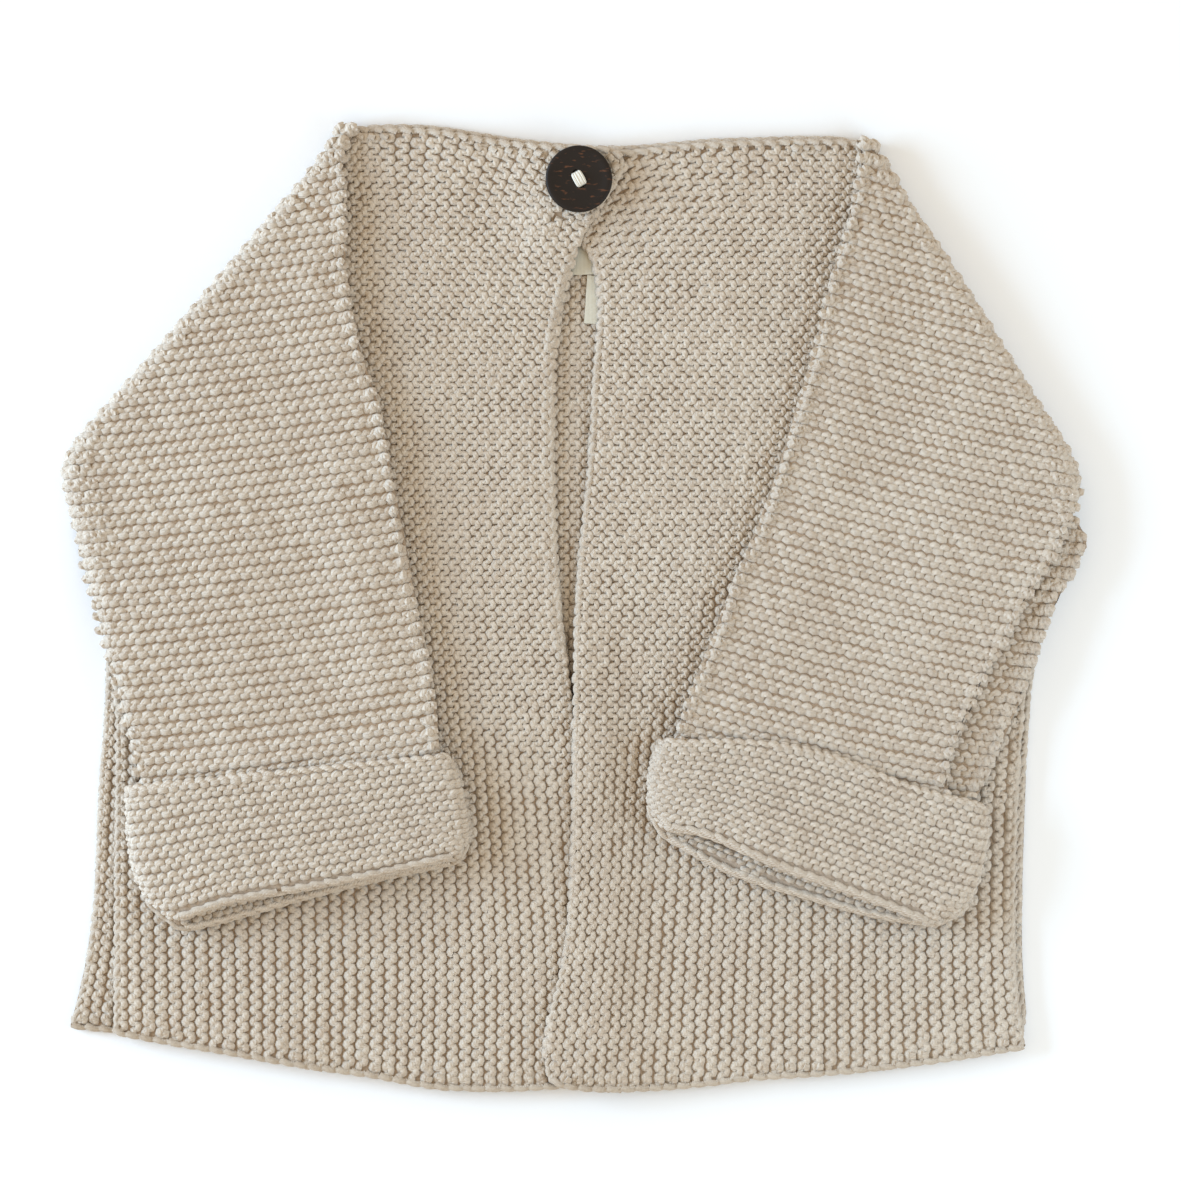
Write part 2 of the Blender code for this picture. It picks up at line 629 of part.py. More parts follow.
def sleeve_upper(name, frame, rims, rows):
    """The back half of a sleeve: a sheet whose outer edge rolls under at the fold."""
    grid = []
    places = stations(rows, rows[-1].along)
    for station in places:
        inner, outer, curl, after = (table_value(rows, "along", station, column)
                                     for column in ("inner", "outer", "curl", "after"))
        level = upper_height(frame, rims, station, outer - FOLD_LEVEL_INSET,
                             FOLD_LEVEL_SHARE)
        points, start = curl_points(inner, outer, level, curl, after)
        line = []
        for across, dip in points:
            share = min(1.0, max(0.0, (across - inner) / (outer - inner)))
            along = station + lip_slant(rims, "lip_upper", station, share, rows[-1].along)
            x, y = to_plan(frame, along, across)
            z = upper_height(frame, rims, along, min(across, start), share)
            blend = ease(1.0 + (across - start) / FOLD_BLEND) if dip == 0.0 else 1.0
            line.append(Vector((x, y, z + (level - z) * blend + dip)))
        grid.append(line)
    shares = [CORNER_WALL + (1.0 - CORNER_WALL) * ease(place / CORNER_LENGTH)
              for place in places]
    shares = [shares[0]] + shares[:-1] + [shares[-1]] * 2
    return wall_solid(name, with_edge_rows(grid), COTTON, row_share=shares)


def sleeve_under(name, frame, rims, rows, upper_rows):
    """The front half of a sleeve, between the front and the upper half."""
    grid = []
    for station in stations(upper_rows, rows[-1].along):
        if station < rows[0].along:
            continue
        inner = table_value(rows, "along", station, "inner")
        outer = table_value(rows, "along", station, "outer")
        line = []
        for k in range(UNDER_CELLS + 1):
            share = k / UNDER_CELLS
            across = inner + (outer - inner) * share
            along = station + lip_slant(rims, "lip_under", station, share, rows[-1].along)
            x, y = to_plan(frame, along, across)
            line.append(Vector((x, y, under_height(frame, rims, along, across, share))))
        grid.append(line)
    return wall_solid(name, with_edge_rows(grid), COTTON)


def ring_places():
    """Places round a cuff: share across the sleeve, bulge past its end, height share.

    The height share runs from 1 on the upper layer to -1 on the under layer.
    """
    places = []
    for k in range(CUFF_FLAT_STEPS):
        places.append((k / CUFF_FLAT_STEPS, 0.0, 1.0))
    for k in range(CUFF_END_STEPS):
        angle = math.pi * k / CUFF_END_STEPS
        places.append((1.0, math.sin(angle), math.cos(angle)))
    for k in range(CUFF_FLAT_STEPS):
        places.append((1.0 - k / CUFF_FLAT_STEPS, 0.0, -1.0))
    for k in range(CUFF_END_STEPS):
        angle = math.pi * k / CUFF_END_STEPS
        places.append((0.0, -math.sin(angle), -math.cos(angle)))
    return places


def cuff_profile():
    """Stations along a cuff's wall: share of its depth, extra length, inward share.

    They run from the free edge to the mouth, round the turn and back inside.
    """
    profile = [(share, 0.0, 0.0) for share in CUFF_STATIONS]
    radius = PITCH / 2
    for k in range(CUFF_TURN_STEPS + 1):
        angle = math.pi * k / CUFF_TURN_STEPS
        profile.append((1.0, radius * (math.sin(angle) - 1.0), (1.0 - math.cos(angle)) / 2))
    profile.append((1.0, -radius - CUFF_RETURN, 1.0))
    return profile


def cuff(name, frame, rims, sides):
    """The turned-up cuff: a flattened ring whose wall folds in at the mouth."""
    grid = []
    for depth, extra, inward in cuff_profile():
        ring = []
        inner = table_value(sides, "share", depth, "inner")
        outer = table_value(sides, "share", depth, "outer")
        for share, bulge, level in ring_places():
            free = table_value(rims, "share", share, "free")
            lip_upper = table_value(rims, "share", share, "lip_upper")
            lip_under = table_value(rims, "share", share, "lip_under")
            lip = lip_upper * (1 + level) / 2 + lip_under * (1 - level) / 2
            along = free + (lip - free) * depth + extra
            half = (LAYER[5] - LAYER[2]) / 2 - PITCH * inward
            left = inner + WALL / 2 + PITCH * inward + half
            right = outer - WALL / 2 - PITCH * inward - half
            across = left + (right - left) * share + bulge * half
            x, y = to_plan(frame, along, across)
            middle = (LAYER[2] + LAYER[5]) / 2 + fold_height(FRONT_FOLDS, x, y)
            gape = mouth_gape(rims, along, share) * (1 + level) / 2
            ring.append(Vector((x, y, middle + half * level + gape)))
        grid.append(ring)
    grid = with_edge_rows(grid, close_across=True)
    return wall_solid(name, grid, COTTON, close_across=True)


def tape(name, place):
    """A short flat piece of woven tape on the inside of the back."""
    bm = bmesh.new()
    bmesh.ops.create_cube(bm, size=1.0)
    bmesh.ops.scale(bm, vec=(place.width, place.length, TAPE_THICK), verts=bm.verts)
    bmesh.ops.bevel(bm, geom=bm.edges[:], offset=TAPE_THICK / 4, segments=1,
                    affect="EDGES")
    bmesh.ops.rotate(bm, verts=bm.verts, matrix=Matrix.Rotation(place.turn, 3, "Z"))
    level = WALL + CLEAR + TAPE_THICK / 2
    bmesh.ops.translate(bm, verts=bm.verts, vec=(place.x, place.y, level))
    return add_object(name, bm, TAPE)


def button_level():
    """Height of the button's underside over the neck tab."""
    return left_front_height(BUTTON_X, BUTTON_Y) + WALL / 2 + CLEAR


def hole_centres():
    """Plan places of the button's two holes."""
    reach = BUTTON_HOLE_SPACING / 2
    step = (reach * math.cos(BUTTON_HOLE_ANGLE), reach * math.sin(BUTTON_HOLE_ANGLE))
    return [(BUTTON_X + side * step[0], BUTTON_Y + side * step[1]) for side in (-1, 1)]


def turned_disc(bm, profile, segments):
    """Closed round body from a profile of radius and height pairs, bottom to top."""
    rings = []
    for radius, height in profile:
        ring = []
        for k in range(segments):
            angle = 2 * math.pi * k / segments
            ring.append(bm.verts.new((radius * math.cos(angle), radius * math.sin(angle),
                                      height)))
        rings.append(ring)
    for low, high in zip(rings, rings[1:]):
        for k in range(segments):
            m = (k + 1) % segments
            bm.faces.new((low[k], low[m], high[m], high[k]))
    bm.faces.new(list(reversed(rings[0])))
    bm.faces.new(rings[-1])


def button():
    """Coconut disc with a rounded rim, a shallow dish and two holes cut through."""
    bm = bmesh.new()
    turned_disc(bm, [(BUTTON_RADIUS - turn.inset, turn.height) for turn in BUTTON_SECTION],
                BUTTON_SEGMENTS)
    bmesh.ops.translate(bm, verts=bm.verts, vec=(BUTTON_X, BUTTON_Y, button_level()))
    disc = add_object("button", bm, COCONUT)
    for number, (x, y) in enumerate(hole_centres()):
        cutter_bm = bmesh.new()
        turned_disc(cutter_bm, [(BUTTON_HOLE_RADIUS, -HOLE_CUT),
                                (BUTTON_HOLE_RADIUS, BUTTON_THICK + HOLE_CUT)],
                    HOLE_SEGMENTS)
        bmesh.ops.translate(cutter_bm, verts=cutter_bm.verts, vec=(x, y, button_level()))
        cutter = add_object(f"button_hole_{number + 1}", cutter_bm, COCONUT)
        cutter.hide_render = True
        cutter.display_type = "WIRE"
        cut = disc.modifiers.new("hole", "BOOLEAN")
        cut.operation = "DIFFERENCE"
        cut.object = cutter


def button_thread():
    """Sewing thread: a flat bar across the two holes with a leg down each hole."""
    top = button_level() + BUTTON_THICK - BUTTON_DISH
    foot = button_level() + THREAD_FOOT
    leg = BUTTON_HOLE_RADIUS - CLEAR
    angle = BUTTON_HOLE_ANGLE
    ahead = Vector((math.cos(angle), math.sin(angle), 0.0))
    aside = Vector((-ahead.y, ahead.x, 0.0))
    reach = BUTTON_HOLE_SPACING / 2
    middle = Vector((BUTTON_X, BUTTON_Y, 0.0))
    outline = [(-reach - leg, foot), (-reach + leg, foot), (-reach + leg, top + CLEAR),
               (reach - leg, top + CLEAR), (reach - leg, foot), (reach + leg, foot),
               (reach + leg, top + CLEAR),
               (reach + leg * THREAD_SHOULDER, top + THREAD_RISE),
               (-reach - leg * THREAD_SHOULDER, top + THREAD_RISE),
               (-reach - leg, top + CLEAR)]
    bm = bmesh.new()
    sides = []
    for side in (-THREAD_WIDTH / 2, THREAD_WIDTH / 2):
        sides.append([bm.verts.new(middle + ahead * along + aside * side
                                   + Vector((0.0, 0.0, height)))
                      for along, height in outline])
    count = len(outline)
    for k in range(count):
        m = (k + 1) % count
        bm.faces.new((sides[0][k], sides[0][m], sides[1][m], sides[1][k]))
    for line in sides:
        bm.faces.new((line[0], line[1], line[2], line[9]))
        bm.faces.new((line[3], line[4], line[5], line[6]))
        bm.faces.new((line[2], line[3], line[6], line[7], line[8], line[9]))
    return add_object("button_thread", bm, THREAD)


def main():
    for old in list(bpy.data.objects):
        bpy.data.objects.remove(old)
    back_left = fold_edge(LEFT_SLEEVE, LEFT_UPPER, BACK_INSET)
    back_right = fold_edge(RIGHT_SLEEVE, RIGHT_UPPER, BACK_INSET)
    panel("back",
          ([back_left[0]] + BACK_TOP + [back_right[0]], BACK_HEM,
           back_left + BACK_LEFT, back_right + BACK_RIGHT),
          BACK_CELLS, 1.0, back_height)
    side = fold_edge(LEFT_SLEEVE, LEFT_UPPER, FRONT_INSET)
    panel("front_left", ([side[0]] + LEFT_TOP, LEFT_HEM, side + LEFT_SIDE, LEFT_EDGE),
          FRONT_CELLS, -CROWD, left_front_height)
    side = fold_edge(RIGHT_SLEEVE, RIGHT_UPPER, FRONT_INSET)
    panel("front_right", (RIGHT_TOP + [side[0]], RIGHT_HEM, RIGHT_EDGE, side + RIGHT_SIDE),
          FRONT_CELLS, CROWD, right_front_height)
    sleeve_under("sleeve_left_under", LEFT_SLEEVE, LEFT_RIM, LEFT_UNDER, LEFT_UPPER)
    sleeve_under("sleeve_right_under", RIGHT_SLEEVE, RIGHT_RIM, RIGHT_UNDER, RIGHT_UPPER)
    sleeve_upper("sleeve_left_upper", LEFT_SLEEVE, LEFT_RIM, LEFT_UPPER)
    sleeve_upper("sleeve_right_upper", RIGHT_SLEEVE, RIGHT_RIM, RIGHT_UPPER)
    cuff("cuff_left", LEFT_SLEEVE, LEFT_RIM, LEFT_CUFF)
    cuff("cuff_right", RIGHT_SLEEVE, RIGHT_RIM, RIGHT_CUFF)
    tape("neck_label", NECK_LABEL)
    tape("care_label", CARE_LABEL)
    button()
    button_thread()


main()
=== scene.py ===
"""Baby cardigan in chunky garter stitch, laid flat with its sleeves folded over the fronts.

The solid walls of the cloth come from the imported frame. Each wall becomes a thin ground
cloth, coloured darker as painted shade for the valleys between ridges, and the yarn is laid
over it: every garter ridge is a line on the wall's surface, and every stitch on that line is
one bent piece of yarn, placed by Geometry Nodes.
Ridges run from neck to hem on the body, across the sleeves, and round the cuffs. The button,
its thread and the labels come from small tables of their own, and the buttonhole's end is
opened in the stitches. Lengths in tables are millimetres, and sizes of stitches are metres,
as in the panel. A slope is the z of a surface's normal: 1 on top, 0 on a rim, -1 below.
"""
import math
from collections import namedtuple
from functools import partial

import bmesh
import bpy
import numpy as np
from bpy.props import FloatProperty, FloatVectorProperty, IntProperty, PointerProperty
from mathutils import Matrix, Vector
from mathutils.bvhtree import BVHTree


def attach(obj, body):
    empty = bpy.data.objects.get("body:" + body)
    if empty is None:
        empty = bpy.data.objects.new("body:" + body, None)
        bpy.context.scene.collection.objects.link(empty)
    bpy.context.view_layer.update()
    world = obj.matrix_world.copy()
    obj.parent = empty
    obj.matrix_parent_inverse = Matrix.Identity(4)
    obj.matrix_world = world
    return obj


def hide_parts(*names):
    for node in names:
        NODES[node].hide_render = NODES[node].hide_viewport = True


bl_info = {
    "name": "Garter-stitch cardigan",
    "version": (1, 0, 0),
    "blender": (4, 5, 0),
    "location": "3D View > Sidebar > Cardigan",
    "description": "Builds a laid-flat baby cardigan in garter stitch round its packed walls",
    "category": "Object",
}

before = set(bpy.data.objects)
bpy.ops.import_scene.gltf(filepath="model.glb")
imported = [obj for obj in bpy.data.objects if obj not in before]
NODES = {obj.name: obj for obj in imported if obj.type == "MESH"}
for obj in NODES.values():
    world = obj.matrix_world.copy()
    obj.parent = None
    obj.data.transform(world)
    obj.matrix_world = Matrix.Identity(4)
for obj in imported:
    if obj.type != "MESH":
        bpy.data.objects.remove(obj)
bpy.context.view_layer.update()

MM = 0.001

# ---- ridge lines of the body: y of the row, then x of a few counted ridges --------------
LEFT_NUMBERS = (-37, -16, 0)
LEFT_GUIDES = [
    (159.4, -141.0, -62.8, 26.2),
    (150.5, -146.9, -67.0, 19.9),
    (141.1, -142.3, -62.5, 7.2),
    (119.5, -143.9, -61.8, 2.0),
    (100.0, -145.9, -63.0, -2.7),
    (84.2, -147.5, -63.9, -6.3),
    (51.5, -149.5, -64.4, -6.8),
    (18.8, -149.5, -63.1, -5.9),
    (-5.0, -152.3, -62.2, -4.1),
    (-20.0, -151.4, -61.5, -2.1),
    (-35.0, -151.2, -60.8, -0.2),
    (-50.0, -151.2, -60.2, 1.4),
    (-65.0, -151.3, -60.0, 2.8),
    (-95.0, -151.6, -59.1, 5.5),
    (-121.8, -151.7, -57.9, 7.0),
    (-140.0, -150.9, -58.7, 7.5),
    (-159.5, -150.6, -59.5, 7.8),
]
RIGHT_NUMBERS = (0, 7, 16, 37)
RIGHT_GUIDES = [
    (156.1, -24.5, 18.0, 68.7, 148.1),
    (143.7, -14.7, 22.2, 66.1, 144.8),
    (133.2, -6.5, 27.1, 65.7, 146.4),
    (120.1, 4.9, 32.0, 68.0, 148.1),
    (100.5, 7.8, 34.3, 68.7, 149.0),
    (51.5, 4.6, 31.1, 64.1, 144.8),
    (10.0, 0.7, 27.5, 61.1, 156.0),
    (-5.0, -0.1, 26.6, 60.3, 152.3),
    (-20.0, -0.4, 26.1, 59.9, 148.6),
    (-36.8, -0.7, 25.5, 59.5, 147.5),
    (-65.0, -1.3, 23.5, 58.4, 145.6),
    (-95.7, -2.0, 21.3, 57.2, 144.7),
    (-125.0, -5.3, 19.3, 56.2, 145.4),
    (-144.7, -7.5, 18.0, 55.6, 147.5),
    (-161.1, -9.8, 16.7, 54.6, 148.0),
]
BACK_NUMBERS = (-41, 0, 39)
BACK_GUIDES = [
    (160.0, -150.0, 2.0, 148.0),
    (25.0, -157.0, 2.0, 157.0),
    (10.0, -155.7, 2.0, 158.0),
    (-5.0, -154.6, 2.0, 154.9),
    (-20.0, -154.2, 2.0, 151.4),
    (-35.0, -154.9, 2.0, 149.6),
    (-50.0, -156.2, 2.0, 148.8),
    (-80.0, -157.7, 2.0, 147.6),
    (-110.0, -159.9, 2.0, 147.1),
    (-125.0, -162.8, 2.0, 147.5),
    (-140.0, -165.0, 2.0, 150.0),
    (-160.0, -168.0, 2.0, 150.5),
]

# ---- sleeves and cuffs ------------------------------------------------------------------
# Frame of a sleeve: shoulder corner, axis down the sleeve and side across it. Its bend
# says how much its ridges curve up towards the outer edge.
Sleeve = namedtuple("Sleeve", "x y axis_x axis_y side_x side_y pitch bend")
LEFT_SLEEVE = Sleeve(-75.2, 158.75, 0.163, -0.987, -0.987, -0.163, 4.35, 0.00035)
RIGHT_SLEEVE = Sleeve(97.1, 153.45, -0.300, -0.954, 0.954, -0.300, 4.36, 0.0007)

# Free edge of a cuff: share of the way across it, then distance down the axis.
LEFT_FREE = [(0.0, 208.6), (0.27, 206.7), (0.6, 204.9), (0.85, 203.6), (1.0, 203.1)]
RIGHT_FREE = [(0.0, 206.6), (0.1, 202.6), (0.27, 198.2), (0.45, 195.9), (0.65, 196.6),
              (0.83, 197.8), (1.0, 196.6)]
CUFF_ACROSS = {"left": (-3.0, 106.0), "right": (-5.0, 105.0)}
CUFF_LOW = 9.0
CUFF_HIGH = 16.0
CUFF_MIDDLE = 12.5
CUFF_RIDGES = 10.6

# End of the buttonhole: its two ends, how far it opens and how far round it cloth gives way.
Slit = namedtuple("Slit", "first last opens reach")
SLIT = Slit((-2.6, 134.0), (-6.4, 127.6), 1.1, 2.6)

# ---- how stitches lie on a wall -----------------------------------------------------------
WIDER = ((-60.0, 40.0), (1.0, 1.1))   # y of two rows, and how much wider stitches are there
LADDER_ROW = -48.0         # ladders of flatter stitches begin below this row,
LADDER_SPREAD = 16.0       # give or take this much,
LADDER_WAVES = (3.1, 1.7)  # which changes this fast along x and y
SMOOTH = 8.0               # rows of the guides are blended over this length
MERGE = 1e-6               # corners of a wall nearer than this, in metres, are one
QUAD_BEND = 0.7            # two triangles of a wall join up to this bend, in radians,
QUAD_SKEW = 1.2            # and this skew
SKIN = 0.05                # a look into a wall starts this far below its surface
DEEPEST = 60.0             # and goes this far at most
GROUND_INSET = 1.3         # how far the ground cloth lies below the wall's surface
GROUND_SHARE = 0.44        # and at most this share of the wall there
PROUD = 0.25               # how far the crowns stand out of the wall's surface
CHAIN_PROUD = 1.1          # and how far the chain along a hem or neck edge does
LIP_PROUD = 0.5            # and how far the rows round the mouth of a cuff do
FLATTEN = 0.88             # height of the yarn against its width
PRESSED = 0.12             # how far yarn under the garment still stands below its underside
RIM_CLEAR = 0.6            # ridges end this far from the middle of the rows along a rim
RIM_UNDER = 0.97           # and on the underside before it is steeper than this
SIDE_RIM = 0.6             # rims that face this far to a side are side edges
UPPER_SLOPE = 0.3          # a ridge's way is read where the slope is more than this
UNDER_SLOPE = -0.5         # the underside has a slope below this
OVER_SLOPE = 0.5           # and the upper side one above this
FLANK = (-0.3, 0.8)        # slopes of a flank, which shows at a slant from above too
MOUTH_FACING = 0.5         # a cuff's lips face the mouth by this much, its free edge back
FEWEST = 3                 # a ridge with room for fewer stitches has none
STITCH_SPREAD = (0.85, 1.3)  # least and most that a stitch follows its ridge's spacing
SPREAD_POWER = 0.6         # and how strongly it follows
LEAST = 0.05               # smallest length or change that is divided by,
LEAST_FACING = 0.01        # and smallest share of a normal
FAR = 1e6                  # more than any length here
SIGHT = 30.0               # how far a stitch looks for cloth that covers it
SIGHT_START = 0.1          # how far off the surface that look starts
SIGHT_SIDE = 2.4           # how far beside its middle it looks too
SIGHT_RISE = 0.12          # slope of a look out past an edge
SIGHT_OUT = 400.0          # and how far that look goes
SIGHT_PAST = 0.02          # a look goes on this far past the inner face of a wall


# ---- settings ---------------------------------------------------------------------------
class CardiganKnit(bpy.types.PropertyGroup):
    """Sizes of the stitches"""
    body_length: FloatProperty(
        name="Body stitch", description="Length of one stitch along a body ridge",
        default=0.00375, min=0.001, unit="LENGTH")
    body_yarn: FloatProperty(
        name="Body yarn", description="Width of the yarn on the body",
        default=0.0024, min=0.0005, unit="LENGTH")
    body_swing: FloatProperty(
        name="Body swing", description="How far the yarn swings to each side of its ridge",
        default=0.0011, min=0.0, unit="LENGTH")
    sleeve_length: FloatProperty(
        name="Sleeve stitch", description="Length of one stitch along a sleeve ridge",
        default=0.00343, min=0.001, unit="LENGTH")
    sleeve_yarn: FloatProperty(
        name="Sleeve yarn", description="Width of the yarn on the sleeves",
        default=0.0026, min=0.0005, unit="LENGTH")
    sleeve_swing: FloatProperty(
        name="Sleeve swing", description="Swing of the yarn on the sleeves",
        default=0.00115, min=0.0, unit="LENGTH")
    unevenness: FloatProperty(
        name="Unevenness", description="How much size and turn differ between stitches",
        default=0.08, min=0.0, max=0.5, subtype="FACTOR")
    seed: IntProperty(
        name="Seed", description="Seed of the stitches' unevenness", default=7)


class CardiganFinish(bpy.types.PropertyGroup):
    """Colours of yarn, button, thread and labels"""
    yarn: FloatVectorProperty(
        name="Yarn", description="Oatmeal cotton yarn", subtype="COLOR",
        default=(0.66, 0.577, 0.482), size=3, min=0.0, max=1.0)
    fleck: FloatVectorProperty(
        name="Yarn fleck", description="Darker fibres in the heathered yarn",
        subtype="COLOR", default=(0.53, 0.432, 0.34), size=3, min=0.0, max=1.0)
    # Ground colour: painted shade, darker than the yarn, for the valleys between the ridges
    # where the hidden rows lie in shade
    ground_painted_shade: FloatVectorProperty(
        name="Ground", description="Hidden rows between the ridges", subtype="COLOR",
        default=(0.41, 0.3, 0.208), size=3, min=0.0, max=1.0)
    # Cuff ground colour: painted shade, darker than the yarn, for the knit between and inside
    # the cuffs' ridges that lies in shade
    band_painted_shade: FloatVectorProperty(
        name="Cuff ground", description="Shaded knit between and inside the cuffs' ridges",
        subtype="COLOR", default=(0.47, 0.375, 0.29), size=3, min=0.0, max=1.0)
    coconut: FloatVectorProperty(
        name="Coconut", description="Dark coconut shell of the button", subtype="COLOR",
        default=(0.013, 0.009, 0.007), size=3, min=0.0, max=1.0)
    thread: FloatVectorProperty(
        name="Thread", description="Cream sewing thread", subtype="COLOR",
        default=(0.86, 0.82, 0.73), size=3, min=0.0, max=1.0)
    tape: FloatVectorProperty(
        name="Tape", description="Cream woven tape of the labels", subtype="COLOR",
        default=(0.72, 0.685, 0.575), size=3, min=0.0, max=1.0)


class CardiganStudio(bpy.types.PropertyGroup):
    """Floor and light"""
    floor: FloatVectorProperty(
        name="Floor", description="Colour of the floor", subtype="COLOR",
        default=(0.93, 0.935, 0.95), size=3, min=0.0, max=1.0)
    key: FloatProperty(
        name="Key light", description="Power of the cool window light", default=24.5,
        unit="POWER")
    side: FloatProperty(
        name="Side light", description="Power of the cool light from the right",
        default=1.45, unit="POWER")
    fill: FloatProperty(
        name="Fill light", description="Brightness of the light from all round",
        default=0.78, min=0.0)


# ---- small helpers ----------------------------------------------------------------------
def add_mesh(name, vertices, faces):
    mesh = bpy.data.meshes.new(name)
    mesh.from_pydata([tuple(v) for v in vertices], [], faces)
    mesh.update()
    made = bpy.data.objects.new(name, mesh)
    bpy.context.scene.collection.objects.link(made)
    return made


def evaluated(source, name):
    """A plain mesh object from what a source's modifiers make; the source goes."""
    graph = bpy.context.evaluated_depsgraph_get()
    mesh = bpy.data.meshes.new_from_object(source.evaluated_get(graph), depsgraph=graph)
    mesh.name = name
    bpy.data.objects.remove(source)
    made = bpy.data.objects.new(name, mesh)
    bpy.context.scene.collection.objects.link(made)
    return made


def node_arrays(node):
    """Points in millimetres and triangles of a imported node."""
    mesh = NODES[node].data
    points = np.zeros(len(mesh.vertices) * 3)
    mesh.vertices.foreach_get("co", points)
    triangles = [tuple(face.vertices) for face in mesh.polygons]
    return points.reshape(-1, 3) / MM, triangles


def put(piece, material):
    piece.data.materials.clear()
    piece.data.materials.append(material)
    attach(piece, "root")
    return piece


# ---- surfaces and ridge lines -----------------------------------------------------------
Surface = namedtuple("Surface", "points normals edges triangle_edges tree")
Stitches = namedtuple("Stitches", "middle normal running width")
Rim = namedtuple("Rim", "kind on_rim tilt slant")
RimRow = namedtuple("RimRow", "kind stitches sizes proud")


def smooth_wall(node):
    """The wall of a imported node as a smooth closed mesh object."""
    bm = bmesh.new()
    points, triangles = node_arrays(node)
    made = [bm.verts.new(p * MM) for p in points]
    for face in triangles:
        bm.faces.new([made[i] for i in face])
    bmesh.ops.remove_doubles(bm, verts=bm.verts, dist=MERGE)
    bmesh.ops.join_triangles(bm, faces=bm.faces, angle_face_threshold=QUAD_BEND,
                             angle_shape_threshold=QUAD_SKEW)
    bmesh.ops.recalc_face_normals(bm, faces=bm.faces)
    mesh = bpy.data.meshes.new(node)
    bm.to_mesh(mesh)
    bm.free()
    wall = bpy.data.objects.new(node + "_wall", mesh)
    bpy.context.scene.collection.objects.link(wall)
    smooth = wall.modifiers.new("smooth", "SUBSURF")
    smooth.levels = 1
    smooth.render_levels = 1
    return evaluated(wall, node + "_wall")


def surface_of(wall):
    """Arrays of a wall in millimetres, for reading ridge lines from it."""
    bm = bmesh.new()
    bm.from_mesh(wall.data)
    bmesh.ops.triangulate(bm, faces=bm.faces)
    bm.normal_update()
    bm.edges.index_update()
    points = np.array([v.co for v in bm.verts]) / MM
    normals = np.array([v.normal for v in bm.verts])
    edges = np.array([[v.index for v in e.verts] for e in bm.edges])
    sides = np.array([[e.index for e in f.edges] for f in bm.faces])
    faces = [tuple(v.index for v in f.verts) for f in bm.faces]
    bm.free()
    tree = BVHTree.FromPolygons([Vector(p) for p in points], faces)
    return Surface(points, normals, edges, sides, tree)


def level_loops(surface, values, level):
    """Closed lines on a surface along which a value keeps one level."""
    above = values > level
    first, second = surface.edges.T
    crossing = above[first] != above[second]
    cut = crossing[surface.triangle_edges]
    links = {}
    for row in np.nonzero(cut.sum(axis=1) == 2)[0]:
        one, other = (int(e) for e in surface.triangle_edges[row][cut[row]])
        links.setdefault(one, []).append(other)
        links.setdefault(other, []).append(one)
    unused = set(links)
    loops = []
    for start in sorted(links):
        if start not in unused:
            continue
        chain = []
        here = start
        while here is not None:
            unused.discard(here)
            chain.append(here)
            here = next((e for e in links[here] if e in unused), None)
        chain = np.array(chain)
        a, b = first[chain], second[chain]
        t = ((level - values[a]) / (values[b] - values[a]))[:, None]
        points = surface.points[a] * (1 - t) + surface.points[b] * t
        normals = surface.normals[a] * (1 - t) + surface.normals[b] * t
        loops.append((points, normals))
    return loops


def closed(rows):
    """Rows with the first one repeated at the end."""
    return np.vstack([rows, rows[:1]])


def stitches_on(points, normals, length, place, anchor):
    """Middles, normals and directions of the stitches on one closed ridge line.

    place gives a value along the ridge for each point. The ridge runs the way in which it
    grows on the upper side, and one stitch starts where it equals the anchor.
    """
    ring = closed(points)
    steps = np.linalg.norm(np.diff(ring, axis=0), axis=1)
    total = steps.sum()
    if total < FEWEST * length:
        return []
    along = np.concatenate([[0.0], np.cumsum(steps)])
    values = place(ring)
    top = closed(normals)[:, 2] > UPPER_SLOPE
    rise = np.diff(values) * (top[:-1] & top[1:])
    if rise.sum() < 0:
        return stitches_on(points[::-1], normals[::-1], length, place, anchor)
    near = np.where(top, np.abs(values - anchor), FAR + np.abs(values - anchor))
    at = int(near.argmin())
    start = along[at] - (values[at] - anchor)
    facing = closed(normals)
    count = int(total / length + 0.5)
    middles = start + length * (np.arange(count) - count // 2)

    def read(rows, where):
        where = np.mod(where, total)
        return np.stack([np.interp(where, along, rows[:, k]) for k in range(3)], axis=1)

    middle = (read(ring, middles) + read(ring, middles - length / 2)
              + read(ring, middles + length / 2)) / 3
    running = read(ring, middles + length / 2) - read(ring, middles - length / 2)
    running /= np.linalg.norm(running, axis=1)[:, None]
    normal = read(facing, middles)
    normal -= (normal * running).sum(axis=1)[:, None] * running
    normal /= np.linalg.norm(normal, axis=1)[:, None]
    return [(m, n, r) for m, n, r in zip(middle, normal, running)]


def blocked(tree, start, normal, left=SIGHT):
    """Whether a line from a point meets the outer face of some wall."""
    while left > 0:
        place, facing, _, run = tree.ray_cast(start, normal, left)
        if place is None:
            return False
        if facing.dot(normal) < 0:
            return True
        start = place + normal * SIGHT_PAST
        left -= run + SIGHT_PAST
    return False


def covered(tree, middle, normal, running, looks_out=False):
    """Whether other cloth lies over a stitch and over its neighbourhood.

    A stitch that looks out also shows if nothing is in its way past an edge near it.
    """
    middle, normal, running = Vector(middle), Vector(normal), Vector(running)
    aside = normal.cross(running) * SIGHT_SIDE
    ahead = running * SIGHT_SIDE
    steps = (Vector(), ahead, -ahead, aside, -aside)
    ways = [normal]
    if FLANK[0] < normal.z < FLANK[1]:
        ways.append((normal + Vector((0.0, 0.0, 1.0))).normalized())
    if looks_out and normal.z > FLANK[0]:
        for step in (ahead, -ahead):
            out = (step.normalized() + Vector((0.0, 0.0, SIGHT_RISE))).normalized()
            if not blocked(tree, middle + step + normal * SIGHT_START, out, SIGHT_OUT):
                return False
    return all(blocked(tree, middle + step + normal * SIGHT_START, way)
               for way in ways for step in steps)


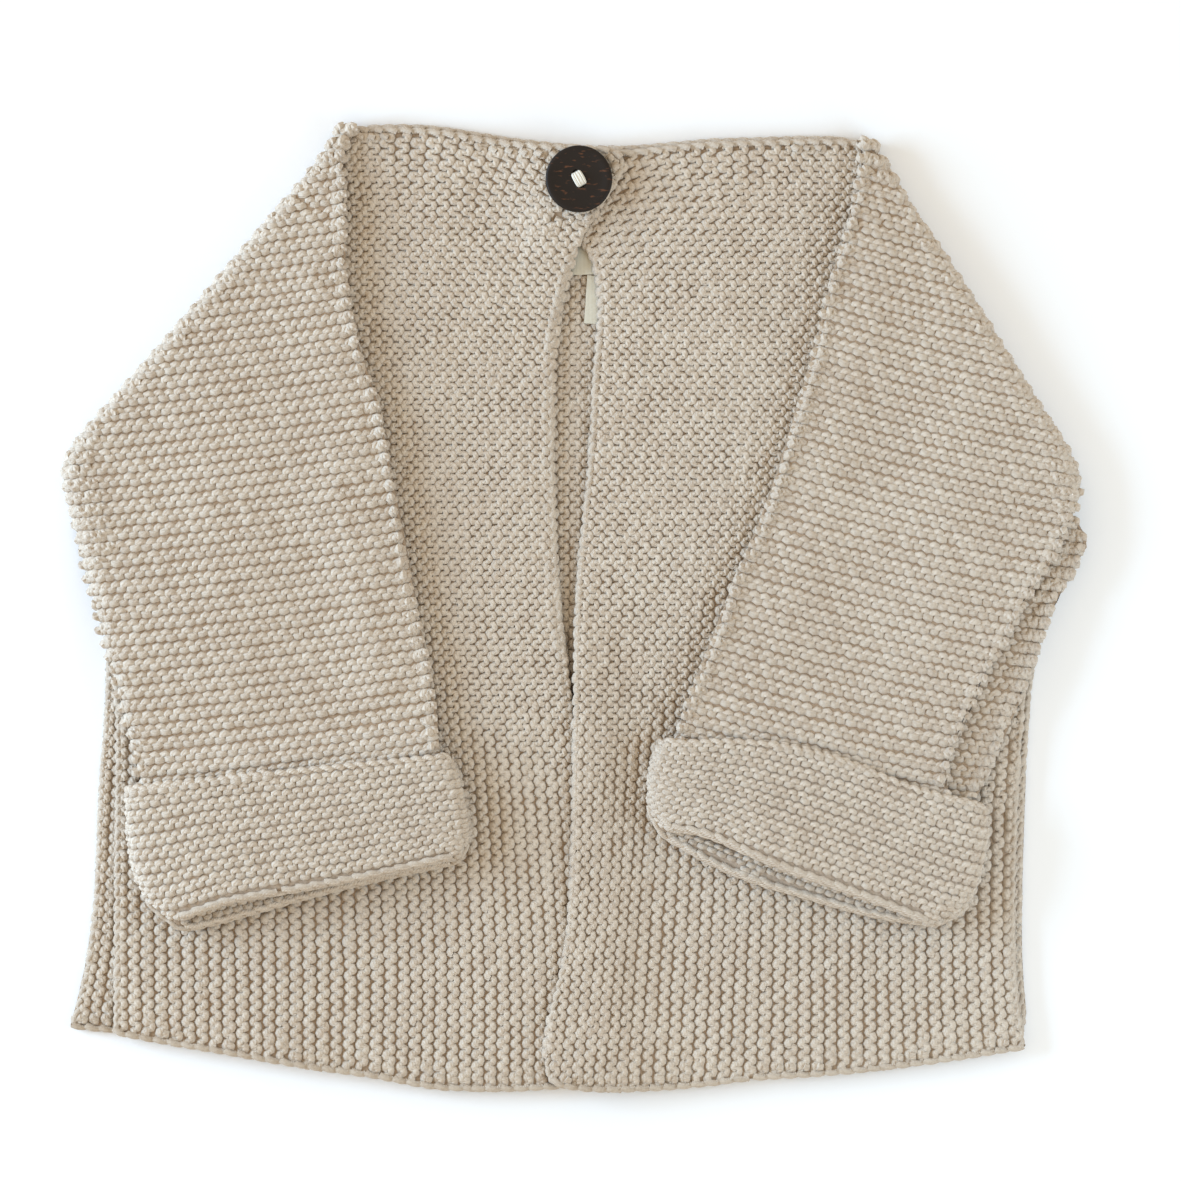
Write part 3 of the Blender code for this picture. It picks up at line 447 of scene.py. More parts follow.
def ridge_stitches(surface, cover, field, length, pitch, place, anchor, offset, rimmed):
    """All the stitches of one wall that show, and those beside them."""
    values = field(surface.points)
    low = math.ceil(values.min() - offset) + offset
    found = []
    level = low
    while level < values.max():
        for points, normals in level_loops(surface, values, level):
            ring = stitches_on(points, normals, length, place, anchor)
            seen = [not covered(cover, *s, looks_out=not rimmed) for s in ring]
            slopes = [s[1][2] for s in ring]
            for k, stitch in enumerate(ring):
                around = (k - 1, k, (k + 1) % len(ring))
                steep = max(slopes[i] for i in around) > -RIM_UNDER
                if rimmed and slopes[k] < 0 and steep:
                    continue
                if any(seen[i] for i in around):
                    found.append(stitch)
        level += 1.0
    middle, normal, running = (np.array(part) for part in zip(*found))
    aside = np.cross(normal, running)
    change = np.abs(field(middle + aside / 2) - field(middle - aside / 2))
    spacing = 1.0 / np.maximum(change, LEAST) / pitch
    width = np.clip(spacing, *STITCH_SPREAD) ** SPREAD_POWER
    return Stitches(middle, normal, running, width)


def opened(stitches, slit):
    """Stitches of the upper side, pushed to both sides of a slit."""
    first = np.array(slit.first)
    way = np.array(slit.last) - first
    length = np.linalg.norm(way)
    way /= length
    away = stitches.middle[:, :2] - first
    off = away - np.clip(away @ way, 0.0, length)[:, None] * way
    far = np.linalg.norm(off, axis=1)
    upper = stitches.normal[:, 2] > OVER_SLOPE
    push = slit.opens * np.exp(-(far / slit.reach) ** 2) * upper
    moved = stitches.middle.copy()
    moved[:, :2] += off / np.maximum(far, LEAST)[:, None] * push[:, None]
    return stitches._replace(middle=moved)


def rim_stitches(surface, cover, length, rim):
    """Stitches along the rim of a wall where it has a slope, each turned by a slant."""
    found = []
    for points, normals in level_loops(surface, surface.normals[:, 2], rim.tilt):
        found += stitches_on(points, normals, length, lambda p: p[:, 0] * 0.0, 0.0)
    found = [s for s in found if rim.on_rim(s[1]) and not covered(cover, *s)]
    middle, normal, running = (np.array(part) for part in zip(*found))
    aside = np.cross(normal, running)
    slant = math.radians(rim.slant)
    running = running * math.cos(slant) + aside * math.sin(slant)
    return Stitches(middle, normal, running, np.ones(len(middle)))


def clear_of(stitches, rims, rows):
    """Which stitches of the ridges lie clear of the rows along the rims."""
    middle, normal = stitches.middle, stitches.normal
    kept = np.ones(len(middle), dtype=bool)
    for rim in rims:
        lowest = min(other.tilt for other in rims if other.on_rim is rim.on_rim)
        outside = (normal[:, 2] >= 0) & (normal[:, 2] < lowest)
        kept &= ~(outside & np.array([rim.on_rim(n) for n in normal]))
    for row in rows:
        half = row.sizes["Stitch length"] / MM / 2
        for place, running in zip(row.stitches.middle, row.stitches.running):
            away = middle - place
            along = np.clip(away @ running, -half, half)
            gap = np.linalg.norm(away - along[:, None] * running, axis=1)
            kept &= (gap > RIM_CLEAR) | (normal[:, 2] < 0)
    return kept


def guided(points, guides, numbers):
    """Number of the ridge at each point, read between guide lines from neck to hem."""
    rows = np.array(sorted(guides))
    lines = []
    for column in range(1, rows.shape[1]):
        shifted = [np.interp(points[:, 1] + step, rows[:, 0], rows[:, column])
                   for step in (-SMOOTH, 0.0, SMOOTH)]
        lines.append(sum(shifted) / 3)
    result = None
    for k in range(len(lines) - 1):
        slope = (numbers[k + 1] - numbers[k]) / (lines[k + 1] - lines[k])
        part = numbers[k] + (points[:, 0] - lines[k]) * slope
        result = part if result is None else np.where(points[:, 0] > lines[k], part, result)
    return result


def down_sleeve(points, sleeve):
    """Distance down a sleeve's axis and across it."""
    away = points[:, :2] - (sleeve.x, sleeve.y)
    along = away @ (sleeve.axis_x, sleeve.axis_y)
    across = away @ (sleeve.side_x, sleeve.side_y)
    return along, across


def sleeve_ridge(points, sleeve):
    along, across = down_sleeve(points, sleeve)
    return (along + sleeve.bend * np.clip(across, 0.0, None) ** 2) / sleeve.pitch


def lips_of(surface, sleeve):
    """The under and upper lip of a cuff's mouth, as rows of across and along."""
    rims = level_loops(surface, surface.normals[:, 2], 0.0)
    points = np.vstack([p for p, n in rims])
    normals = np.vstack([n for p, n in rims])
    mouth = normals @ (sleeve.axis_x, sleeve.axis_y, 0.0) > MOUTH_FACING
    along, across = down_sleeve(points, sleeve)
    tables = []
    for side in (points[:, 2] < CUFF_MIDDLE, points[:, 2] >= CUFF_MIDDLE):
        chosen = mouth & side
        order = np.argsort(across[chosen])
        tables.append((across[chosen][order], along[chosen][order]))
    return tables


def cuff_ridge(points, sleeve, rims, sides, lips):
    """Number of the ridge on a cuff, counted from its mouth to its free edge."""
    along, across = down_sleeve(points, sleeve)
    share = np.clip((across - sides[0]) / (sides[1] - sides[0]), 0.0, 1.0)
    high = np.clip((points[:, 2] - CUFF_LOW) / (CUFF_HIGH - CUFF_LOW), 0.0, 1.0)
    rows = np.array(rims)
    free = np.interp(share, rows[:, 0], rows[:, 1])
    under, upper = (np.interp(across, *table) for table in lips)
    lip = under + (upper - under) * high
    return (lip - along) / (lip - free) * CUFF_RIDGES


# ---- the Geometry Nodes tree of the stitches ----------------------------------------------
class Tree:
    """Short way to build a node tree."""

    def __init__(self, tree):
        self.tree = tree

    def add(self, kind, *inputs, **settings):
        """Add a node, set its properties, and feed its first inputs in order."""
        made = self.tree.nodes.new(kind)
        for name, value in settings.items():
            setattr(made, name, value)
        for k, value in enumerate(inputs):
            self.feed(made, k, value)
        return made

    def feed(self, made, key, value):
        if value is None:
            return
        if isinstance(value, bpy.types.NodeSocket):
            self.tree.links.new(value, made.inputs[key])
        elif isinstance(value, bpy.types.Node):
            self.tree.links.new(value.outputs[0], made.inputs[key])
        else:
            made.inputs[key].default_value = value

    def math(self, operation, first, second=None):
        return self.add("ShaderNodeMath", first, second, operation=operation)


STITCH_INPUTS = [
    ("Stitch length", "NodeSocketFloat", 0.00375),
    ("Yarn width", "NodeSocketFloat", 0.0022),
    ("Swing", "NodeSocketFloat", 0.0012),
    ("Squareness", "NodeSocketFloat", 1.0),
    ("Pinch", "NodeSocketFloat", -0.00033),
    ("Slant", "NodeSocketFloat", 0.0002),
    ("Loft", "NodeSocketFloat", 0.0005),
    ("Cap drop", "NodeSocketFloat", 0.0),
    ("Arch", "NodeSocketFloat", 0.0),
    ("Steps", "NodeSocketInt", 8),
    ("Sides", "NodeSocketInt", 5),
    ("Unevenness", "NodeSocketFloat", 0.05),
    ("Seed", "NodeSocketInt", 7),
    ("Finish", "NodeSocketMaterial", None),
]
WOBBLE = (1.5, 1.5, 2.5)   # turns about x, y and z in radians, at an unevenness of 1


def stitch_tree():
    """Lay one bent piece of yarn on every point: a crown to one side, then to the other."""
    group = bpy.data.node_groups.new("garter_stitches", "GeometryNodeTree")
    group.interface.new_socket("Geometry", in_out="INPUT", socket_type="NodeSocketGeometry")
    for name, kind, default in STITCH_INPUTS:
        made = group.interface.new_socket(name, in_out="INPUT", socket_type=kind)
        if default is not None:
            made.default_value = default
    group.interface.new_socket("Geometry", in_out="OUTPUT",
                               socket_type="NodeSocketGeometry")
    t = Tree(group)
    given = t.add("NodeGroupInput").outputs

    # the yarn's path over one stitch
    line = t.add("GeometryNodeCurvePrimitiveLine", (0, 0, 0), (1, 0, 0))
    path = t.add("GeometryNodeResampleCurve", line)
    t.feed(path, "Count", t.math("ADD", given["Steps"], 1.0))
    factor = t.add("GeometryNodeSplineParameter").outputs["Factor"]
    angle = t.math("MULTIPLY", factor, 2 * math.pi)
    wave = t.math("SINE", angle)
    double = t.math("SINE", t.math("MULTIPLY", angle, 2.0))
    x = t.math("MULTIPLY", t.math("SUBTRACT", factor, 0.5), given["Stitch length"])
    x = t.math("ADD", x, t.math("MULTIPLY", double, given["Pinch"]))
    x = t.math("ADD", x, t.math("MULTIPLY", wave, given["Slant"]))
    wide = t.add("ShaderNodeClamp", t.math("MULTIPLY", wave, given["Squareness"]), -1.0, 1.0)
    y = t.math("MULTIPLY", wide, given["Swing"])
    z = t.math("MULTIPLY", t.math("ABSOLUTE", wave), given["Loft"])
    cap = t.math("MULTIPLY", t.math("MAXIMUM", wave, 0.0), given["Cap drop"])
    z = t.math("SUBTRACT", z, cap)
    arch = t.math("SUBTRACT", t.math("SINE", t.math("MULTIPLY", factor, math.pi)), 1.0)
    z = t.math("ADD", z, t.math("MULTIPLY", arch, given["Arch"]))
    place = t.add("ShaderNodeCombineXYZ", x, y, z)
    path = t.add("GeometryNodeSetPosition", path, None, place)
    path = t.add("GeometryNodeStoreNamedAttribute", path, None, "along", factor,
                 data_type="FLOAT", domain="POINT")
    ring = t.add("GeometryNodeCurvePrimitiveCircle", mode="RADIUS")
    t.feed(ring, "Resolution", given["Sides"])
    t.feed(ring, "Radius", t.math("MULTIPLY", given["Yarn width"], 0.5))
    ring = t.add("GeometryNodeStoreNamedAttribute", ring, None, "round", factor,
                 data_type="FLOAT", domain="POINT")
    yarn = t.add("GeometryNodeCurveToMesh", path, ring)
    t.feed(yarn, "Fill Caps", True)
    yarn = t.add("GeometryNodeSetShadeSmooth", yarn)

    # one on each point, turned to its ridge, a little uneven
    def stored(name):
        return t.add("GeometryNodeInputNamedAttribute", name,
                     data_type="FLOAT_VECTOR").outputs["Attribute"]

    def uneven(low, high, shift):
        made = t.add("FunctionNodeRandomValue", data_type="FLOAT")
        t.feed(made, 2, low)
        t.feed(made, 3, high)
        t.feed(made, "Seed", t.math("ADD", given["Seed"], float(shift)))
        return made.outputs[1]

    spread = given["Unevenness"]
    less = t.math("MULTIPLY", spread, -1.0)
    up = t.add("FunctionNodeAlignRotationToVector", None, None, stored("facing"), axis="Z")
    turn = t.add("FunctionNodeAlignRotationToVector", up, None, stored("running"),
                 axis="X", pivot_axis="Z")
    wobble = t.add("ShaderNodeCombineXYZ",
                   *[t.math("MULTIPLY", uneven(less, spread, k + 1), share)
                     for k, share in enumerate(WOBBLE)])
    turn = t.add("FunctionNodeRotateRotation", turn, wobble, rotation_space="LOCAL")
    size = t.add("ShaderNodeVectorMath", stored("spread"),
                 t.math("ADD", uneven(less, spread, 4), 1.0), operation="MULTIPLY")
    placed = t.add("GeometryNodeInstanceOnPoints", given["Geometry"])
    t.feed(placed, "Instance", yarn)
    t.feed(placed, "Rotation", turn)
    t.feed(placed, "Scale", size)
    tinted = t.add("GeometryNodeStoreNamedAttribute", placed, None, "tint",
                   uneven(0.0, 1.0, 5), data_type="FLOAT", domain="INSTANCE")
    real = t.add("GeometryNodeRealizeInstances", tinted)
    done = t.add("GeometryNodeSetMaterial", real)
    t.feed(done, "Material", given["Finish"])
    t.add("NodeGroupOutput", done)
    return group


def lay_yarn(name, stitches, sizes, finish, proud=PROUD):
    """Points with their directions, run through the stitch tree, as one plain mesh."""
    depth = sizes["Yarn width"] / MM / 2 * FLATTEN + sizes["Loft"] / MM - proud
    sunk = stitches.middle - stitches.normal * depth
    source = add_mesh(name + "_points", sunk * MM, [])
    count = len(stitches.width)
    spread = np.stack([np.ones(count), stitches.width, np.full(count, FLATTEN)], axis=1)
    stored = {"facing": stitches.normal, "running": stitches.running, "spread": spread}
    for label, rows in stored.items():
        values = source.data.attributes.new(label, "FLOAT_VECTOR", "POINT")
        values.data.foreach_set("vector", rows.astype(np.float32).ravel())
    group = bpy.data.node_groups.get("garter_stitches") or stitch_tree()
    modifier = source.modifiers.new("stitches", "NODES")
    modifier.node_group = group
    knit = bpy.context.scene.cardigan_knit
    values = {"Unevenness": knit.unevenness, "Seed": knit.seed, "Finish": finish, **sizes}
    for item in group.interface.items_tree:
        if item.in_out == "INPUT" and item.name in values:
            modifier[item.identifier] = values[item.name]
    made = evaluated(source, name)
    for vertex in made.data.vertices:
        vertex.co.z = max(vertex.co.z, vertex.co.z * PRESSED)
    for label in stored:
        if label in made.data.attributes:
            made.data.attributes.remove(made.data.attributes[label])
    return put(made, finish)


# ---- materials --------------------------------------------------------------------------
# Scales are repeats in a metre, and shares say how strongly each one counts.
PATCH_SCALE = 22.0
PATCH_SHARE = 0.5
SPECK_SCALE = 1300.0
SPECK_SHARE = 2.2
FIBRE_SCALE = 2600.0
FIBRE_SHARE = 0.5
TINT_SHARE = 0.45          # stitches differ in colour by this much
FLECK_LEVEL = 0.3          # how much of the fleck colour there is throughout
PLIES = 4.0                # strands side by side round the yarn
TWISTS = 5.0               # turns that they make along one stitch
PLY_SHARE = 0.8
COTTON_RELIEF = 0.00025    # depth of the bump, in metres
GROUND_SHADE = 0.6         # flecks of the painted-shade ground against its colour


def new_material(name, roughness):
    made = bpy.data.materials.new(name)
    made.use_nodes = True
    shader = made.node_tree.nodes["Principled BSDF"]
    shader.inputs["Roughness"].default_value = roughness
    return made, Tree(made.node_tree), shader


def mixed(t, factor, first, second):
    """Colour between two colours."""
    made = t.add("ShaderNodeMix", data_type="RGBA")
    t.feed(made, 0, factor)
    t.feed(made, 6, first)
    t.feed(made, 7, second)
    return made.outputs[2]


def coloured(colour):
    return (*colour, 1.0)


def heather_group():
    """Shader group: heathered cotton colour with soft patches, tints and fine flecks."""
    group = bpy.data.node_groups.get("heathered_cotton")
    if group:
        return group
    group = bpy.data.node_groups.new("heathered_cotton", "ShaderNodeTree")
    for name, kind in (("Yarn", "NodeSocketColor"), ("Fleck", "NodeSocketColor"),
                       ("Tint", "NodeSocketFloat")):
        group.interface.new_socket(name, in_out="INPUT", socket_type=kind)
    group.interface.new_socket("Color", in_out="OUTPUT", socket_type="NodeSocketColor")
    group.interface.new_socket("Fuzz", in_out="OUTPUT", socket_type="NodeSocketFloat")
    t = Tree(group)
    given = t.add("NodeGroupInput").outputs
    place = t.add("ShaderNodeTexCoord").outputs["Object"]

    def noise(scale, detail):
        made = t.add("ShaderNodeTexNoise", noise_dimensions="3D")
        t.feed(made, "Vector", place)
        t.feed(made, "Scale", scale)
        t.feed(made, "Detail", detail)
        return made.outputs[0]

    def centred(value, share):
        return t.math("MULTIPLY", t.math("SUBTRACT", value, 0.5), share)

    patch = centred(noise(PATCH_SCALE, 2.0), PATCH_SHARE)
    speck = centred(noise(SPECK_SCALE, 2.0), SPECK_SHARE)
    tint = centred(given["Tint"], TINT_SHARE)
    amount = t.math("ADD", t.math("ADD", patch, speck), t.math("ADD", tint, FLECK_LEVEL))
    amount = t.add("ShaderNodeClamp", amount)
    colour = mixed(t, amount, given["Yarn"], given["Fleck"])
    fuzz = noise(FIBRE_SCALE, 3.0)
    t.add("NodeGroupOutput", colour, fuzz)
    return group


def cotton(name, yarn, fleck, stranded):
    """Cotton cloth material; with strands, its bump follows the plies of the yarn."""
    made, t, shader = new_material(name, 0.92)
    shader.inputs["Sheen Weight"].default_value = 0.12
    shader.inputs["Sheen Roughness"].default_value = 0.6
    shader.inputs["Specular IOR Level"].default_value = 0.25
    heather = t.add("ShaderNodeGroup", node_tree=heather_group())
    t.feed(heather, "Yarn", coloured(yarn))
    t.feed(heather, "Fleck", coloured(fleck))
    height = t.math("MULTIPLY", heather.outputs["Fuzz"], FIBRE_SHARE)
    if stranded:
        def stored(label):
            return t.add("ShaderNodeAttribute", attribute_name=label).outputs["Fac"]

        t.feed(heather, "Tint", stored("tint"))
        turns = t.math("ADD", t.math("MULTIPLY", stored("round"), PLIES),
                       t.math("MULTIPLY", stored("along"), TWISTS))
        ply = t.math("SINE", t.math("MULTIPLY", turns, 2 * math.pi))
        height = t.math("ADD", height, t.math("MULTIPLY", ply, PLY_SHARE))
    else:
        t.feed(heather, "Tint", 0.5)
    bump = t.add("ShaderNodeBump")
    t.feed(bump, "Strength", 0.5)
    t.feed(bump, "Distance", COTTON_RELIEF)
    t.feed(bump, "Height", height)
    t.feed(shader, "Base Color", heather.outputs["Color"])
    t.feed(shader, "Normal", bump)
    return made


def cloth_materials(kind):
    """The yarn, and the ground under a kind of stitch, whose darker colour is painted shade.
    """
    finish = bpy.context.scene.cardigan_finish
    name, colour = "cotton_ground_painted_shade", finish.ground_painted_shade
    # the cuffs' ground is a lighter painted shade, so bare patches inside the mouth read as
    # shaded knit
    if kind == "cuff":
        name, colour = "cotton_band_painted_shade", finish.band_painted_shade
    yarn = bpy.data.materials.get("cotton_yarn")
    ground_painted_shade = bpy.data.materials.get(name)
    if yarn is None:
        yarn = cotton("cotton_yarn", finish.yarn, finish.fleck, True)
    if ground_painted_shade is None:
        ground_painted_shade = cotton(name, colour, [c * GROUND_SHADE for c in colour], False)
    return yarn, ground_painted_shade


# ---- cloth pieces -----------------------------------------------------------------------
# What a piece is cut to: width and length in metres, area in square metres.
Cut = namedtuple("Cut", "width length area rests_on")


def ground_cloth(node, wall, surface, finish):
    """Thin cloth inside a wall, that the yarn is laid on; its finish is the darker
    painted-shade ground.
    """
    for vertex in wall.data.vertices:
        point = Vector(vertex.co) / MM
        normal = Vector(vertex.normal)
        hit = surface.tree.ray_cast(point - normal * SKIN, -normal, DEEPEST)
        room = hit[3] if hit[0] is not None else 0.0
        vertex.co = (point - normal * min(GROUND_INSET, room * GROUND_SHARE)) * MM
    wall.name = node + "_cloth"
    wall.data.name = wall.name
    wall.data.shade_smooth()
    return put(wall, finish)


COVER = []


def cover():
    """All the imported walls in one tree, in millimetres, to see what lies under what."""
    if COVER:
        return COVER[0]
    points = []
    faces = []
    for node in NODES:
        rows, triangles = node_arrays(node)
        start = len(points)
        points += [Vector(p) for p in rows]
        faces += [tuple(i + start for i in face) for face in triangles]
    COVER.append(BVHTree.FromPolygons(points, faces))
    return COVER[0]


# Stitches of the ridges: the panel's sizes that they take and how much of its yarn width and
# swing, then squareness, and pinch, slant, loft and cap drop in metres.
RidgeStitch = namedtuple("RidgeStitch",
                         "panel yarn swing squareness pinch slant loft cap_drop")
RIDGE_STITCHES = {
    "body": RidgeStitch("body", 1.0, 1.0, 1.4, -0.0003, -0.0001, 0.0005, 0.0),
    "ladder": RidgeStitch("body", 1.15, 0.72, 1.8, -0.0002, -0.0001, 0.0003, 0.0),
    "sleeve": RidgeStitch("sleeve", 1.0, 1.0, 1.1, -0.0005, 0.0001, 0.0013, 0.0003),
    "cuff": RidgeStitch("sleeve", 0.87, 0.87, 1.1, -0.00045, 0.0001, 0.0011, 0.0002),
}

# Stitches of the rows along rims: share of a body stitch's length, then yarn width, swing
# and arch in metres, unevenness, and how far they stand out in millimetres. None is the
# panel's unevenness.
RimStitch = namedtuple("RimStitch", "length yarn swing arch unevenness proud")
RIM_STITCHES = {
    "chain": RimStitch(1.25, 0.0027, 0.00015, 0.0006, 0.04, CHAIN_PROUD),
    "lip": RimStitch(1.25, 0.0024, 0.0002, 0.0003, 0.03, LIP_PROUD),
    "beads": RimStitch(1.0, 0.0022, 0.0003, 0.0011, None, PROUD),
}
PLAIN = {"Pinch": 0.0, "Slant": 0.0, "Loft": 0.0, "Cap drop": 0.0, "Squareness": 1.0,
         "Steps": 6, "Sides": 5}
FINE = {"Steps": 8, "Sides": 5}
COARSE = {"Steps": 4, "Sides": 3}


def ridge_sizes(kind):
    """Sizes of a kind of stitch on the ridges for the stitch tree, in metres."""
    knit = bpy.context.scene.cardigan_knit
    shape = RIDGE_STITCHES[kind]
    return {"Stitch length": getattr(knit, shape.panel + "_length"),
            "Yarn width": getattr(knit, shape.panel + "_yarn") * shape.yarn,
            "Swing": getattr(knit, shape.panel + "_swing") * shape.swing,
            "Squareness": shape.squareness, "Pinch": shape.pinch, "Slant": shape.slant,
            "Loft": shape.loft, "Cap drop": shape.cap_drop}


def rim_sizes(kind):
    """Sizes of a kind of stitch along a rim for the stitch tree, in metres."""
    knit = bpy.context.scene.cardigan_knit
    shape = RIM_STITCHES[kind]
    uneven = knit.unevenness if shape.unevenness is None else shape.unevenness
    return {"Stitch length": knit.body_length * shape.length, "Yarn width": shape.yarn,
            "Swing": shape.swing, "Arch": shape.arch, "Unevenness": uneven, **PLAIN}


def ladders(points):
    """Which stitches of the body belong to the flatter knit low on it."""
    wave = np.sin(points[:, 0] * LADDER_WAVES[0] + points[:, 1] * LADDER_WAVES[1])
    return points[:, 1] < LADDER_ROW + LADDER_SPREAD * wave


def rim_rows(surface, rims):
    """The rows of stitches along a wall's rims, one for each kind."""
    rows = []
    for kind, shape in RIM_STITCHES.items():
        sizes = rim_sizes(kind)
        length = sizes["Stitch length"] / MM
        found = [rim_stitches(surface, cover(), length, rim)
                 for rim in rims if rim.kind == kind]
        if found:
            joined = Stitches(*(np.concatenate(part) for part in zip(*found)))
            rows.append(RimRow(kind, joined, sizes, shape.proud))
    return rows


def knit_piece(node, kind, field, place, anchor, pitch, rims=(), offset=0.5,
               mouth=None):
    """One piece of cloth: its ground and the yarn on it."""
    # the ground's darker colour is painted shade between the ridges
    yarn, ground_painted_shade = cloth_materials(kind)
    wall = smooth_wall(node)
    surface = surface_of(wall)
    sizes = ridge_sizes(kind)
    length = sizes["Stitch length"] / MM
    if mouth:
        field = partial(field, lips=lips_of(surface, mouth))
    found = ridge_stitches(surface, cover(), field, length, pitch, place, anchor, offset,
                           bool(rims))
    cloth = ground_cloth(node, wall, surface, ground_painted_shade)
    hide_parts(node)
    if kind == "body":
        found.width[:] *= np.interp(found.middle[:, 1], *WIDER)
    if node == "front_left":
        found = opened(found, SLIT)
    rows = rim_rows(surface, rims)
    kept = clear_of(found, rims, rows)
    found = Stitches(*(part[kept] for part in found))

    # the back lies on the table, so its underside is knit too, in coarser stitches
    below = (found.normal[:, 2] < UNDER_SLOPE) & (node == "back")
    low = ladders(found.middle) & ~below & (kind == "body")
    left = found.middle[:, 0] < 0
    simple = {**sizes, **COARSE}
    parts = [("_yarn", ~below & ~low, {**sizes, **FINE}),
             ("_ladders", low, {**ridge_sizes("ladder"), **FINE}),
             ("_yarn_under_left", below & left, simple),
             ("_yarn_under_right", below & ~left, simple)]
    for label, chosen, shape in parts:
        if chosen.any():
            some = Stitches(*(part[chosen] for part in found))
            lay_yarn(node + label, some, shape, yarn)
    for row in rows:
        lay_yarn(f"{node}_{row.kind}", row.stitches, row.sizes, yarn,
                               row.proud)
    return cloth


def body_place(points):
    return -points[:, 1]


def sideways(normal):
    """How far a rim faces along x: 1 at a right side, -1 at a left side, 0 at a hem."""
    return normal[0] / max(math.hypot(normal[0], normal[1]), LEAST_FACING)


def at_side(normal):
    return abs(sideways(normal)) >= SIDE_RIM


def at_end(normal):
    """At the hem or the neck edge."""
    return abs(sideways(normal)) < SIDE_RIM


# Rows on the rim of a body panel: kind, where, slope of the rim there, slant in degrees.
BODY_RIMS = (Rim("chain", at_end, 0.35, -14.0), Rim("beads", at_side, 0.0, 0.0))


def band_rims(sleeve):
    """Rows on the rims of a cuff: two on its lips and one on its free edge."""
    axis = np.array((sleeve.axis_x, sleeve.axis_y, 0.0))

    def at_lip(normal):
        return np.dot(normal, axis) > MOUTH_FACING

    def at_free_edge(normal):
        return np.dot(normal, axis) < -MOUTH_FACING

    return (Rim("lip", at_lip, 0.8, -4.0), Rim("lip", at_lip, 0.2, -4.0),
            Rim("beads", at_free_edge, 0.45, 0.0))


BACK_PITCH = 3.9           # usual distance between the ridges of a piece
FRONT_PITCH = 3.75
CUFF_PITCH = 3.6
CUFF_OFFSET = 0.4          # number of a cuff's first ridge, counted from its lips
SLEEVE_ANCHOR = 50.0       # one stitch of each ridge starts this far across a sleeve


class CARDIGAN_OT_body(bpy.types.Operator):
    """Back and both fronts, with ridges from neck to hem"""
    bl_idname = "cardigan.body"
    bl_label = "Body"

    def execute(self, context):
        back = Cut(0.317, 0.313, 0.088, [])
        front = Cut(0.170, 0.313, 0.044, ["back"])
        for node, guides, numbers, pitch, cut in (
                ("back", BACK_GUIDES, BACK_NUMBERS, BACK_PITCH, back),
                ("front_left", LEFT_GUIDES, LEFT_NUMBERS, FRONT_PITCH, front),
                ("front_right", RIGHT_GUIDES, RIGHT_NUMBERS, FRONT_PITCH, front)):
            field = partial(guided, guides=guides, numbers=numbers)
            knit_piece(node, "body", field, body_place, 0.0, pitch, BODY_RIMS)
        return {"FINISHED"}


class CARDIGAN_OT_sleeves(bpy.types.Operator):
    """Both sleeves, with ridges across them that roll round the shoulder folds"""
    bl_idname = "cardigan.sleeves"
    bl_label = "Sleeves"

    def execute(self, context):
        for side, sleeve in (("left", LEFT_SLEEVE), ("right", RIGHT_SLEEVE)):
            sign = -1.0 if side == "left" else 1.0
            for half in ("under", "upper"):
                knit_piece(f"sleeve_{side}_{half}", "sleeve",
                           lambda p: sleeve_ridge(p, sleeve),
                           lambda p: sign * down_sleeve(p, sleeve)[1],
                           sign * SLEEVE_ANCHOR, sleeve.pitch)
        return {"FINISHED"}


class CARDIGAN_OT_cuffs(bpy.types.Operator):
    """Both turned-up cuffs, with ridges round them"""
    bl_idname = "cardigan.cuffs"
    bl_label = "Cuffs"

    def execute(self, context):
        for side, sleeve, free in (("left", LEFT_SLEEVE, LEFT_FREE),
                                   ("right", RIGHT_SLEEVE, RIGHT_FREE)):
            sign = -1.0 if side == "left" else 1.0
            knit_piece(f"cuff_{side}", "cuff",
                       lambda p, lips: cuff_ridge(p, sleeve, free, CUFF_ACROSS[side], lips),
                       lambda p: sign * down_sleeve(p, sleeve)[1],
                       sign * SLEEVE_ANCHOR, CUFF_PITCH,
                       band_rims(sleeve), CUFF_OFFSET, sleeve)
        return {"FINISHED"}


# ---- button and labels ------------------------------------------------------------------
def node_box(node):
    """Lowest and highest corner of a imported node, in millimetres."""
    points = node_arrays(node)[0]
    return points.min(axis=0), points.max(axis=0)


def turned(profile, segments):
    """Closed turned body from a profile of radius and height that starts on the axis."""
    bm = bmesh.new()
    low = bm.verts.new((0.0, 0.0, profile[0][1]))
    rings = []
    for radius, height in profile[1:-1]:
        ring = []
        for k in range(segments):
            angle = 2 * math.pi * k / segments
            ring.append(bm.verts.new((radius * math.cos(angle), radius * math.sin(angle),
                                      height)))
        rings.append(ring)
    high = bm.verts.new((0.0, 0.0, profile[-1][1]))
    for k in range(segments):
        n = (k + 1) % segments
        bm.faces.new((low, rings[0][n], rings[0][k]))
        for below, above in zip(rings, rings[1:]):
            bm.faces.new((below[k], below[n], above[n], above[k]))
        bm.faces.new((high, rings[-1][k], rings[-1][n]))
    return bm


def from_bmesh(name, bm, move=(0.0, 0.0, 0.0)):
    """Object from a millimetre bmesh, moved by some millimetres."""
    bmesh.ops.recalc_face_normals(bm, faces=bm.faces)
    for vertex in bm.verts:
        vertex.co = (vertex.co + Vector(move)) * MM
    mesh = bpy.data.meshes.new(name)
    bm.to_mesh(mesh)
    bm.free()
    made = bpy.data.objects.new(name, mesh)
    bpy.context.scene.collection.objects.link(made)
    return made


